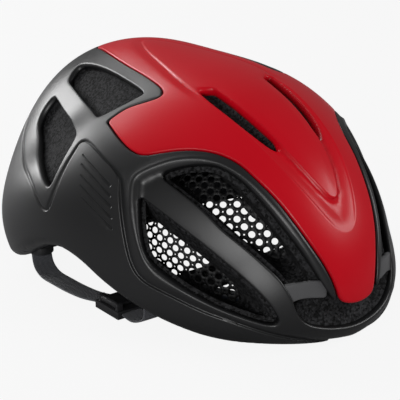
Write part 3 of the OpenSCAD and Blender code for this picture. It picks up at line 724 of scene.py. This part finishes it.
lower.wall([numbers[rim_loop]] + [lower.add(placed(offset(uv[rim_loop], back), radius[rim_loop] - deep))
                                  for back, deep in rim_tuck])
for loop in loops[1:]:
    lower.wall([numbers[loop]] + [lower.add(placed(uv[loop], radius[loop] - flange * k)) for k in (0.3, 1.0)])

black_shell, tree, shader = painted("matt_black_shell", Roughness=0.46, Specular_IOR_Level=0.5)
grain = noise(tree, 2600, 2)
cloud = noise(tree, 9, 3)
feed(tree, shader, Base_Color=blended(tree, cloud, (0.0055, 0.0056, 0.006), (0.009, 0.0091, 0.0098)),
     Roughness=grain * 0.08 + cloud * 0.05 + 0.33, Normal=bumped(tree, grain, 0.08, 0.0002))
lower_piece = lower.made("lower_shell_skin", black_shell, "black_shell")
thickened(lower_piece, wall)
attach(lower_piece, "helmet")
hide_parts("lower_shell")

# ---------------------------------------------------------------------------
# Foam liner: one block of dark expanded polystyrene beads inside the shells.
# Its vents narrow to openings at the head, and the rear vents and the crown's
# slots end in shallow pockets. Two channels carry air along its inside.
# ---------------------------------------------------------------------------
foam_depth = 2.5
air_deep, air_half = 6.5, 8.5
throat = ((1.7, 2.9), (1.6, 5.0), (-0.9, 5.3), (-1.9, 6.2))
foam_back, inner_back, rim_step = 9.0, 6.0, 2.2
outer_step, inner_step = 4.0, 2.6
vent_back = 3.0
upper_vent = curve([(43.4, -30.6), (39.6, -32.4), (34.7, -35.8), (30.3, -39.5), (27.9, -42.4), (24.8, -48.5),
                    (22.5, -56.3), (19.9, -64.9), (16.9, -72.3), (14.6, -77.6), (14.2, -79.6), (16, -80.4),
                    (19, -80.2), (22.6, -79.4), (24, -78.6), (25.3, -75.9), (27.8, -72.4), (31.7, -66.2),
                    (36.8, -57.5), (38.6, -51.4), (43.4, -37.3), (44.6, -31.4)], corner=1.6)
inner_lower = curve([(61.9, -27.1), (59.6, -36.4), (56.5, -46.8), (53.6, -53.2), (46.4, -68.2), (40.5, -76.7),
                     (38.6, -82.1), (39.2, -85.6), (42.4, -86.1), (47.1, -82.2), (53.5, -76.9), (64.1, -64.9),
                     (71, -51.9), (73.8, -43.4), (73.5, -37.4), (69.7, -32.4), (65.4, -28.4)], corner=3)
inner_upper = curve([(41.2, -29.1), (36.8, -29.1), (28.1, -36.9), (25.4, -41.8), (21.6, -58.4), (19, -65.4),
                     (16.7, -70.3), (14.6, -74.7), (14.4, -76.7), (15.8, -77.3), (20.3, -76.2), (27, -69.8),
                     (30.9, -64.3), (36.3, -52.5), (40.3, -40.8), (41.6, -32.1)], corner=3)
nose_bowl = curve(both_halves([(0, -76), (12, -79.5), (19, -81.2), (23.4, -82.2), (23.6, -85), (21, -89),
                               (16.8, -91.2), (9.7, -93), (0, -94.2)]), corner=1.6)
slit_outer = curve([(13.4, -83.2), (16, -82.4), (20, -82.0), (22.3, -82.6), (22.2, -83.8), (19, -84), (15, -84.4)],
                   corner=1, step=0.5)
slit_inner = curve([(14, -84.5), (17, -84), (20.5, -83.8), (23, -84.3), (22.8, -87), (19, -87.6), (15, -88)],
                   corner=1, step=0.5)
channel = curve([(26, -44), (30, -20), (32, 4), (27, 28), (20, 46)], step=2, closed=False)


def cover(uv):
    """Height of whichever shell lies over a place, against the plain dome."""
    lift = lower_relief(uv)
    under_crown = inside(uv, crown_edge)
    lift[under_crown] = crown_relief(uv[under_crown])
    return lift


def paired(line, other):
    """A closed line's points, one to each of another's, so that a wall between the two isn't twisted."""
    if turning(line) * turning(other) < 0:
        line = line[::-1]
    closed = np.vstack([line, line[:1]])
    run = travel(closed)
    share = travel(np.vstack([other, other[:1]]))
    share = share[:-1] / share[-1]
    tries = [walked(closed, run, (share + start) % 1 * run[-1]) for start in np.linspace(0, 1, 120, endpoint=False)]
    return min(tries, key=lambda found: np.hypot(*(found - other).T).sum())


foam = Build()
outer_holes, walls = [], []
for line, inner in ((upper_vent, inner_upper), (lower_vent, inner_lower)):
    for edge_line, opening in ((line, inner), (flipped(line), flipped(inner))):
        outer_holes.append(offset(edge_line, -vent_back))
        walls.append((edge_line, opening))
pockets = [(slot_left, 4.6, 1.5), (rear_upper, 6.2, 1.6), (rear_lower, 6.8, 1.6)]
pockets = [p for line, deep, out in pockets for p in ((line, deep, out), (flipped(line), deep, out))]
pockets.append((nose_bowl, 9.5, 0.6))
outer_holes += [offset(line, -out) for line, _, out in pockets]
even_rim = even(rim_line, rim_step)
uv, faces, loops = sheet(offset(even_rim, foam_back), outer_holes, outer_step)
outer = foam.add(placed(uv, shell_r(uv) + cover(uv) - foam_depth))
foam.fill(faces, outer)
inner_holes = [opening for _, opening in walls] + [slit_inner, flipped(slit_inner)]
uv_in, faces_in, loops_in = sheet(offset(even_rim, inner_back), inner_holes, inner_step)
gap = reach(np.stack([np.abs(uv_in[:, 0]), uv_in[:, 1]], 1), channel, closed=False)
air = air_deep * np.exp(-(gap / air_half) ** 4) * (1 - smooth(gap, 10, 14))
inner_numbers = foam.add(placed(uv_in, head_r(uv_in) + air))
foam.fill(faces_in[:, ::-1], inner_numbers)
for k, (edge_line, opening) in enumerate(walls):
    numbers_in = inner_numbers[loops_in[1 + k]]
    base = shell_r(edge_line) + cover(edge_line)
    rows_down = [outer[loops[1 + k]]] + [foam.add(placed(offset(edge_line, -out), base - deep))
                                         for out, deep in throat]
    top = offset(edge_line, -throat[-1][0])
    target = paired(opening, top)
    for t in (0.12, 0.3, 0.55, 0.8, 0.94, 1.0):
        height = mix(base - throat[-1][1], head_r(target), t ** 0.9)
        rows_down.append(foam.add(placed(mix(top, target, t), height)))
    foam.wall(rows_down)
    # the opening's own edge on the inside: a strip between its even points and the wall's end
    nearest = [int(np.hypot(*(target - p).T).argmin()) for p in opening]
    end = rows_down[-1]
    for i, start in enumerate(nearest):
        j = (i + 1) % len(opening)
        ahead, back = (nearest[j] - start) % len(end), (start - nearest[j]) % len(end)
        way = 1 if ahead <= back else -1
        fan = [end[(start + way * step) % len(end)] for step in range(min(ahead, back) + 1)] + [numbers_in[j]]
        foam.faces += [(int(numbers_in[i]), int(a), int(b)) for a, b in zip(fan, fan[1:])]
for k, (line, deep, out) in enumerate(pockets):
    top = outer[loops[1 + len(walls) + k]]
    is_bowl = line is nose_bowl
    holes = [slit_outer, flipped(slit_outer)] if is_bowl else []
    floor_uv, floor_faces, floor_loops = sheet(offset(line, -out + 0.1), holes, 1.6 if is_bowl else 2.0)
    gap = reach(floor_uv, offset(line, -out))
    sink = deep - foam_depth
    dished = smooth(gap, -1, 9) if is_bowl else 0.82 + 0.18 * smooth(gap, 0, 3)
    floor_numbers = foam.add(placed(floor_uv, shell_r(floor_uv) + cover(floor_uv) - foam_depth - sink * dished))
    foam.fill(floor_faces, floor_numbers)
    foam.wall([top, floor_numbers[floor_loops[0]]])
    for hole, hole_loop, opening in zip(holes, floor_loops[1:], (slit_inner, flipped(slit_inner))):
        target = paired(opening, hole)
        start = shell_r(hole) + cover(hole) - foam_depth - sink
        foam.wall([floor_numbers[hole_loop]] + [foam.add(placed(mix(hole, target, t), mix(start, head_r(target), t)))
                                                for t in (0.3, 0.7, 1.0)])
rows_down = [outer[loops[0]]]
for back, base_r, above in ((5.5, shell_r, -8.5), (2.6, shell_r, -13.2), (1.4, shell_r, -14.6),
                            (1.2, head_r, 6.0), (2.0, head_r, 3.0), (3.6, head_r, 0.9)):
    place = offset(even_rim, back)
    rows_down.append(foam.add(placed(place, base_r(place) + above)))
foam.wall(rows_down + [inner_numbers[loops_in[0]]])

beads, tree, shader = painted("foam_beads", Roughness=0.85, Specular_IOR_Level=0.12)
bead_scale = 780
cells = node(tree, "ShaderNodeTexVoronoi", {"feature": "F1"}, {"Vector": at(tree), "Scale": bead_scale})
tone = node(tree, "ShaderNodeTexVoronoi", {"feature": "F1"}, {"Vector": at(tree), "Scale": bead_scale}, output=1)
shade = node(tree, "ShaderNodeSeparateColor", {}, {"Color": tone})
grit = noise(tree, 2100, 2, 0.7)
speck = (shade * 0.55 + grit * 0.9 - 0.25).over(0.15, 0.85)
feed(tree, shader, Base_Color=blended(tree, speck, (0.003, 0.003, 0.003), (0.036, 0.036, 0.038)),
     Normal=bumped(tree, (1 - cells * 1.4) * 0.7 + grit * 0.5, 0.5, 0.0006))
foam_piece = foam.made("foam_liner_beads", beads, "foam")
chosen(foam_piece)
bpy.ops.object.shade_smooth_by_angle(angle=math.radians(38))
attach(foam_piece, "helmet")
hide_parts("foam_liner")

# ---------------------------------------------------------------------------
# Front bridges: a short bar of dark grey moulded plastic across the lower end of
# each upper front vent, behind the nose. It is snapped in just under the crown.
# ---------------------------------------------------------------------------
bridge_line = curve([(26.8, -77.6), (14.6, -79.4), (10.8, -80.6), (11.6, -84.2), (13.6, -84.0), (19.5, -82.5),
                     (25.4, -82.6)], corner=1.2, step=0.5)
bridge_sunk, bridge_t, bridge_roll = 2.0, 2.2, 0.8


def grained(name, scale, colours, rough, bump, detail=3, cloud=None, **constants):
    """A moulded material, whose fine grain shows in its colour, its roughness and its surface."""
    made, tree, shader = painted(name, **constants)
    grain = noise(tree, scale, detail)
    spread = grain
    if cloud:
        cloud_scale, share = cloud
        spread = noise(tree, cloud_scale, 2) * share + grain * (1 - share)
    feed(tree, shader, Base_Color=blended(tree, spread, *colours), Roughness=grain * rough[0] + rough[1],
         Normal=bumped(tree, grain, *bump))
    return made


moulding = grained("moulded_black_bridge", 1900, ((0.066, 0.066, 0.068), (0.082, 0.082, 0.085)), (0.1, 0.34),
                   (0.1, 0.0002), detail=2, Roughness=0.4)
for name, line in (("left", bridge_line), ("right", flipped(bridge_line))):
    uv, faces, loops = sheet(line, [], 1.1, edge_rows(line, bridge_roll, (0.1, 0.35, 0.7, 1.0), 0.1))
    bar = Build()
    height = shell_r(uv) - bridge_sunk - rolled(reach(uv, line), bridge_roll)
    top = bar.add(placed(uv, height))
    under = bar.add(placed(uv, height - bridge_t))
    bar.fill(faces, top)
    bar.fill(faces[:, ::-1], under)
    bar.wall([top[loops[0]], under[loops[0]]])
    piece = bar.made("front_bridge_moulding_" + name, moulding, "fit_plastic")
    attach(piece, "helmet")
    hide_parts("front_bridge_" + name)

# ---------------------------------------------------------------------------
# Bug nets: stiff black mesh with rows of round holes and a pinhole between
# them, laid on the inside of the foam across both front vents of each side.
# ---------------------------------------------------------------------------
net_gap, net_t = 0.9, 0.55
hole_r, hole_sides = 1.95, 14
pin_r, pin_sides = 0.55, 6
hole_pitch, row_pitch = 7.5, 3.95
net_margin = 1.1
net_overlap = 4.5
net_r = 88
row_first, row_degree = 26, 1.5
net_line = curve([(44, -24.5), (36, -26), (26, -35.5), (22, -44.5), (17, -63), (12.3, -74), (12.3, -79.2),
                  (17, -81), (24, -79.6), (31, -83), (36, -87.6), (43.5, -89.2), (56, -79.4), (67, -66.2),
                  (74.2, -52.5), (77, -43), (76.5, -35.8), (71, -28.8), (64, -23.8)], corner=3)
net_mesh, tree, shader = painted("bug_net_mesh", Roughness=0.6)
fibre = noise(tree, 2400, 3)
feed(tree, shader, Base_Color=blended(tree, fibre, (0.004, 0.004, 0.0042), (0.012, 0.012, 0.013)),
     Normal=bumped(tree, fibre, 0.3, 0.0003))


def ring(u, v, size, sides):
    """A round hole of the net, as a closed line in the chart."""
    theta = math.hypot(u, v)
    mm_per_degree = float(head_r(np.array([[u, v]]))[0]) * math.pi / 180
    turn = np.arange(sides) * 2 * math.pi / sides
    out = size * np.cos(turn) / mm_per_degree
    across = size * np.sin(turn) / mm_per_degree * math.radians(theta) / math.sin(math.radians(theta))
    ru, rv = u / theta, v / theta
    return np.stack([u + out * ru - across * rv, v + out * rv + across * ru], 1)


holes_left = []
mid = math.degrees(math.atan2(45, 55))
for j in range(-3, 30):
    theta = row_first + j * row_pitch / row_degree
    mm_per_turn = net_r * math.sin(math.radians(theta)) * math.pi / 180
    for k in range(-16, 17):
        for shift, size, sides in ((0, hole_r, hole_sides), (0.5, pin_r, pin_sides)):
            a = mid + (k + (j % 2) / 2 + shift) * hole_pitch / mm_per_turn
            u, v = theta * math.sin(math.radians(a)), -theta * math.cos(math.radians(a))
            place = np.array([[u, v]])
            if not 2 < a < 88 or signed(place, net_line)[0] <= size + net_margin:
                continue
            if max(signed(place, inner_lower)[0], signed(place, inner_upper)[0]) > -net_overlap:
                holes_left.append(ring(u, v, size, sides))
for name, side in (("left", 1), ("right", -1)):
    line = net_line if side > 0 else flipped(net_line)
    holes = holes_left if side > 0 else [flipped(hole) for hole in holes_left]
    uv, faces, loops = sheet(line, holes, 3.0)
    net = Build()
    numbers = net.add(placed(uv, head_r(uv) - net_gap))
    net.fill(faces, numbers)
    piece = net.made("bug_net_mesh_" + name, net_mesh, "net")
    thickened(piece, net_t)
    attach(piece, "helmet")
    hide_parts("bug_net_" + name)

# ---------------------------------------------------------------------------
# Comfort pads: soft foam in brushed knit, sewn through across in channels and
# held inside the liner by hook tape. Cloth under pressure plumps all but the chin pad.
# ---------------------------------------------------------------------------
pad_voxel, pad_relax, channel_deep = 1.3, 5, 1.1
chin_voxel, chin_relax, chin_channel_deep = 0.55, 2, 0.35
channel_half = 1.5
pad_pressure, pad_frames = 4, 20
swell_out, swell_in = 0.25, 1.1
brow_mid, brow_rise, brow_span = 22, 8, 60
brow_low, brow_squeeze = 7.9, 0.42
doubles = 2e-6
knit, tree, shader = painted("brushed_knit", Roughness=0.9, Sheen_Weight=0.35, Sheen_Roughness=0.4)
loops_of_yarn = node(tree, "ShaderNodeTexVoronoi", {"feature": "F1"},
                     {"Vector": at(tree), "Scale": 950.0, "Randomness": 0.35})
nap = noise(tree, 260, 4)
feed(tree, shader, Base_Color=blended(tree, loops_of_yarn * 0.7 + nap * 0.5, (0.052, 0.054, 0.058),
                                      (0.018, 0.019, 0.021)),
     Normal=bumped(tree, loops_of_yarn * -1.0 + nap * 0.6, 0.6, 0.0005))


def copied(name, source_name, material):
    """A new piece that stands for a node of the frame: its mesh, closed up, on its body."""
    source = frame["nodes"][source_name]
    piece = linked(name, source.data.copy())
    chosen(piece)
    if piece.data.has_custom_normals:
        bpy.ops.mesh.customdata_custom_splitnormals_clear()
    merged(piece.data, doubles, outwards=False)
    piece.data.materials.clear()
    piece.data.materials.append(material)
    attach(piece, source["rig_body"])
    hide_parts(source_name)
    return piece


def points_of(piece, what="co"):
    """The places of a piece's points, or their normals."""
    found = np.empty(len(piece.data.vertices) * 3)
    piece.data.vertices.foreach_get(what, found)
    return found.reshape(-1, 3)


def move_to(piece, points):
    piece.data.vertices.foreach_set("co", np.ascontiguousarray(points).ravel())
    piece.data.update()


def brow_height(points):
    """The height of the headband's middle, in metres, at each point's angle from the front."""
    around = np.degrees(np.arctan2(points[:, 0], -points[:, 1]))
    return (brow_mid + brow_rise * (around / brow_span) ** 2) * MM, np.abs(around)


def across_at(*places):
    """Distance from the nearest of some planes that cross the front-to-rear axis, in metres."""
    return lambda p: np.min([np.abs(p[:, 1] - place * MM) for place in places], axis=0)


def beside_at(*places):
    """The same for planes on both sides of the middle."""
    return lambda p: np.min([np.abs(np.abs(p[:, 0]) - place * MM) for place in places], axis=0)


pads = []
for name, source_name, channels, head_middle in (
        ("brow_pad_stuffed", "brow_pad", beside_at(0, 19, 37), (0, -0.02, 0.03)),
        ("crown_pad_stuffed", "crown_pad", across_at(-48, -20, 8, 34), (0, 0, 0.03)),
        ("side_pad_stuffed_left", "side_pad_left", across_at(0, 18), (0, 0, 0.04)),
        ("side_pad_stuffed_right", "side_pad_right", across_at(0, 18), (0, 0, 0.04)),
        ("nape_pad_stuffed_left", "nape_pad_left", beside_at(17), (0, 0.02, 0.02)),
        ("nape_pad_stuffed_right", "nape_pad_right", beside_at(17), (0, 0.02, 0.02)),
        ("chin_pad_stuffed", "chin_pad", beside_at(40, 52), (0, 0, 0))):
    chin = source_name == "chin_pad"
    piece = copied(name, source_name, knit)
    if source_name == "brow_pad":
        points = points_of(piece)
        level, _ = brow_height(points)
        points[:, 2] = level - brow_low * MM + (points[:, 2] - level + brow_low * MM) * brow_squeeze
        move_to(piece, points)
    modifier(piece, "REMESH", mode="VOXEL", voxel_size=(chin_voxel if chin else pad_voxel) * MM)
    modifier(piece, "SMOOTH", factor=0.5, iterations=chin_relax if chin else pad_relax)
    pads.append((piece, channels, np.array(Vector(head_middle)), chin))

stuffed = [(piece, middle) for piece, _, middle, chin in pads if not chin]
for piece, _ in stuffed:
    cloth = piece.modifiers.new("cloth", "CLOTH")
    cloth.settings.quality = 4
    cloth.settings.use_pressure = True
    cloth.settings.uniform_pressure_force = pad_pressure
    cloth.settings.effector_weights.gravity = 0
    cloth.point_cache.frame_end = pad_frames
for step in range(1, pad_frames + 1):
    scene.frame_set(step)
seen_now = bpy.context.evaluated_depsgraph_get()
for piece, middle in stuffed:
    swollen = np.array([tuple(v.co) for v in piece.evaluated_get(seen_now).data.vertices])
    start, way = points_of(piece), points_of(piece, "normal")
    piece.modifiers.clear()
    move = swollen - start
    faces_head = ((start - middle) * way).sum(1) < 0
    most = np.where(faces_head, swell_in, swell_out) * MM
    far = np.maximum(np.linalg.norm(move, axis=1), 1e-9)
    move_to(piece, start + move * np.minimum(1, most / far)[:, None])
scene.frame_set(1)
for piece, channels, middle, chin in pads:
    modifier(piece, "SUBSURF", levels=1, render_levels=1)
    start, way = points_of(piece), points_of(piece, "normal")
    deep = chin_channel_deep if chin else channel_deep
    dip = deep * MM * np.exp(-(channels(start) / (channel_half * MM)) ** 2)
    if not chin:  # only the side against the head is sewn down
        out = start - middle
        dip = dip * smooth(-(out * way).sum(1) / np.linalg.norm(out, axis=1), 0, 0.4)
    move_to(piece, start - way * dip[:, None])
    piece.data.shade_smooth()

# ---------------------------------------------------------------------------
# Straps: polyester webbing in a herringbone weave with a rounded selvedge. The
# front and rear straps of each side meet at a divider, and run on as one.
# ---------------------------------------------------------------------------
tape_w, tape_t = 14.0, 1.5
web_w, web_t, web_sides, web_step = 14.0, 1.3, 28, 1.6
rib_pitch, warp_pitch, chevron = 1.15, 0.7, 3.5
webbing, tree, shader = painted("herringbone_webbing", Roughness=0.62, Sheen_Weight=0.2)
weave_map = node(tree, "ShaderNodeUVMap", {"uv_map": "weave"}, {})
run, across = (node(tree, "ShaderNodeSeparateXYZ", {}, {0: weave_map}, output=k) for k in (0, 1))
zigzag = (across * (1 / chevron)).math("PINGPONG", 0.5) * chevron
rib = ((run + zigzag) * (2 * math.pi / rib_pitch)).math("SINE")
warp = (across * (2 * math.pi / warp_pitch)).math("SINE")
fuzz = noise(tree, 1500, 3)
relief = rib * 0.5 + warp * 0.18 + fuzz * 0.3
feed(tree, shader, Base_Color=blended(tree, relief.over(-0.5, 0.8), (0.035, 0.036, 0.042),
                                      (0.105, 0.108, 0.122)),
     Normal=bumped(tree, relief, 0.55, 0.0004))


def stations(source_name):
    """The corners of each station of a flat tape of the frame, four by four along it."""
    shape = bmesh.new()
    shape.from_mesh(frame["nodes"][source_name].data)
    bmesh.ops.remove_doubles(shape, verts=shape.verts, dist=doubles)
    shape.verts.index_update()
    ends = []
    for face in shape.faces:
        lengths = sorted(e.calc_length() / MM for e in face.edges)
        if abs(lengths[0] - tape_t) < 0.02 and abs(lengths[1] - tape_w) < 0.02:
            ends.append(set(face.verts))
    current = set().union(*[end for end in ends if len(end & ends[0]) > 1])
    seen, found = set(current), []
    while current:
        found.append([np.array(v.co) for v in sorted(current, key=lambda v: v.index)])
        current = {e.other_vert(v) for v in current for e in v.link_edges} - seen
        seen |= current
    shape.free()
    return found


def ribbon(name, source_name):
    """A strap along a tape of the frame, with its weave map in mm along and across it."""
    middles, sides = [], []
    for corners in stations(source_name):
        corners = np.array(corners)
        middle = corners.mean(0)
        spread = np.linalg.svd(corners - middle)[2][0]
        if sides and spread @ sides[-1] < 0:
            spread = -spread
        middles.append(middle)
        sides.append(spread)
    middles, sides = np.array(middles), np.array(sides)
    run = np.concatenate([[0], np.cumsum(np.linalg.norm(np.diff(middles, axis=0), axis=1))])
    stops = np.linspace(0, run[-1], max(8, int(run[-1] / (web_step * MM))))
    middles, sides = walked(middles, run, stops), walked(sides, run, stops)
    for _ in range(3):
        middles[1:-1] = middles[1:-1] * 0.5 + (middles[:-2] + middles[2:]) * 0.25
        sides[1:-1] = sides[1:-1] * 0.5 + (sides[:-2] + sides[2:]) * 0.25
    sides /= np.linalg.norm(sides, axis=1)[:, None]
    ways = np.gradient(middles, axis=0)
    ups = np.cross(ways, sides)
    ups /= np.linalg.norm(ups, axis=1)[:, None]
    turn = np.arange(web_sides) * 2 * math.pi / web_sides
    s = web_w / 2 * np.sign(np.cos(turn)) * np.abs(np.cos(turn)) ** 0.55
    selvedge = 0.88 + 0.12 * np.abs(s / web_w * 2) ** 6
    h = web_t / 2 * np.sign(np.sin(turn)) * np.abs(np.sin(turn)) ** 0.35 * selvedge
    points = middles[:, None] + sides[:, None] * s[None, :, None] * MM + ups[:, None] * h[None, :, None] * MM
    strap = Build()
    rows = [strap.add(row) for row in points]
    strap.faces = [tuple(rows[0][::-1].tolist()), tuple(rows[-1].tolist())]
    strap.wall(rows)
    piece = strap.made(name, webbing, "webbing")
    weave = piece.data.uv_layers.new(name="weave")
    for loop in piece.data.loops:
        i, k = divmod(loop.vertex_index, web_sides)
        weave.data[loop.index].uv = (stops[i] / MM, s[k])
    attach(piece, "helmet")
    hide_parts(source_name)


for side in ("left", "right"):
    for source_name in ("front_strap_", "rear_strap_", "chin_strap_"):
        ribbon(source_name + "webbing_" + side, source_name + side)

# ---------------------------------------------------------------------------
# Headband and arms: flexible nylon moulded flat and bent round the head. The
# arms slide in the rear housing and turn on pins in cups sunk in the foam.
# ---------------------------------------------------------------------------
headband_low, headband_slim = 6.4, 0.32
slim_until, full_from = 46, 58
nylon = grained("flexible_nylon", 1300, ((0.009, 0.011, 0.016), (0.021, 0.025, 0.035)), (0.15, 0.38), (0.2, 0.0002),
                cloud=(60, 0.6), Roughness=0.45, Specular_IOR_Level=0.4)
hard_black = grained("moulded_black_plastic", 2200, ((0.010, 0.010, 0.011), (0.024, 0.024, 0.026)), (0.2, 0.36),
                     (0.3, 0.0002), cloud=(90, 0.5), Roughness=0.45)


def eased(name, source_name, material, radius):
    """A copy of a node of the frame with its edges rounded, in mm, as moulding leaves them."""
    piece = copied(name, source_name, material)
    bpy.ops.object.mode_set(mode="EDIT")
    bpy.ops.mesh.select_all(action="SELECT")
    bpy.ops.mesh.dissolve_limited(angle_limit=math.radians(0.6))
    bpy.ops.object.mode_set(mode="OBJECT")
    modifier(piece, "BEVEL", width=radius * MM, segments=2, limit_method="ANGLE", angle_limit=math.radians(38),
             use_clamp_overlap=True)
    chosen(piece)
    bpy.ops.object.shade_smooth_by_angle(angle=math.radians(34))
    return piece


band = eased("headband_nylon", "headband", nylon, 0.35)
points = points_of(band)
level, around = brow_height(points)
lowest = level - headband_low * MM
points[:, 2] = lowest + (points[:, 2] - lowest) * mix(headband_slim, 1, smooth(around, slim_until, full_from))
move_to(band, points)
for side in ("left", "right"):
    eased("band_arm_nylon_" + side, "band_arm_" + side, nylon, 0.22)
    eased("temple_anchor_cup_" + side, "temple_anchor_" + side, hard_black, 0.4)

# ---------------------------------------------------------------------------
# Cradle and dial: a moulded yoke on two height clips behind the head. A rubber
# dial on its housing turns an acetal pinion between the racks of the two arms.
# ---------------------------------------------------------------------------
rubber = grained("dial_rubber", 1700, ((0.010, 0.010, 0.010), (0.022, 0.022, 0.023)), (0.2, 0.68), (0.4, 0.0003),
                 detail=4, Roughness=0.8)
gear_white = grained("acetal_gear", 700, ((0.55, 0.55, 0.50), (0.68, 0.68, 0.63)), (0.15, 0.28), (0.1, 0.0001),
                     Roughness=0.35)
for side in ("left", "right"):
    eased("height_clip_moulded_" + side, "height_clip_" + side, hard_black, 0.5)
eased("cradle_moulded", "cradle_yoke", hard_black, 0.7)
eased("dial_housing_moulded", "dial_housing", hard_black, 0.7)
eased("dial_cover_moulded", "dial_cover", hard_black, 0.4)
eased("dial_knob_rubber", "dial_knob", rubber, 0.35)
eased("dial_pinion_acetal", "dial_pinion", gear_white, 0.1)

# ---------------------------------------------------------------------------
# Strap fittings: moulded plugs pressed into the foam's rim hold the webbing, and
# below each ear a divider joins the two straps under a lever that locks them.
# ---------------------------------------------------------------------------
for side in ("left", "right"):
    for end in ("front_", "rear_"):
        eased("strap_anchor_plug_" + end + side, "strap_anchor_" + end + side, hard_black, 0.6)
    eased("divider_moulded_" + side, "divider_" + side, hard_black, 0.5)
    eased("divider_lever_moulded_" + side, "divider_lever_" + side, hard_black, 0.3)

# ---------------------------------------------------------------------------
# Buckle: two moulded halves whose nickel-plated magnets hold them together
# until the slider is pushed across, and a rubber keeper for the strap's end.
# ---------------------------------------------------------------------------
nickel = grained("nickel_plate", 900, ((0.56, 0.56, 0.55), (0.68, 0.68, 0.67)), (0.2, 0.18), (0.1, 0.0001),
                 Metallic=1.0)
for half in ("base", "slider"):
    eased("buckle_" + half + "_moulded", "buckle_" + half, hard_black, 0.6)
    eased(half + "_magnet_plated", half + "_magnet", nickel, 0.15)
eased("strap_keeper_rubber", "strap_keeper", rubber, 0.25)
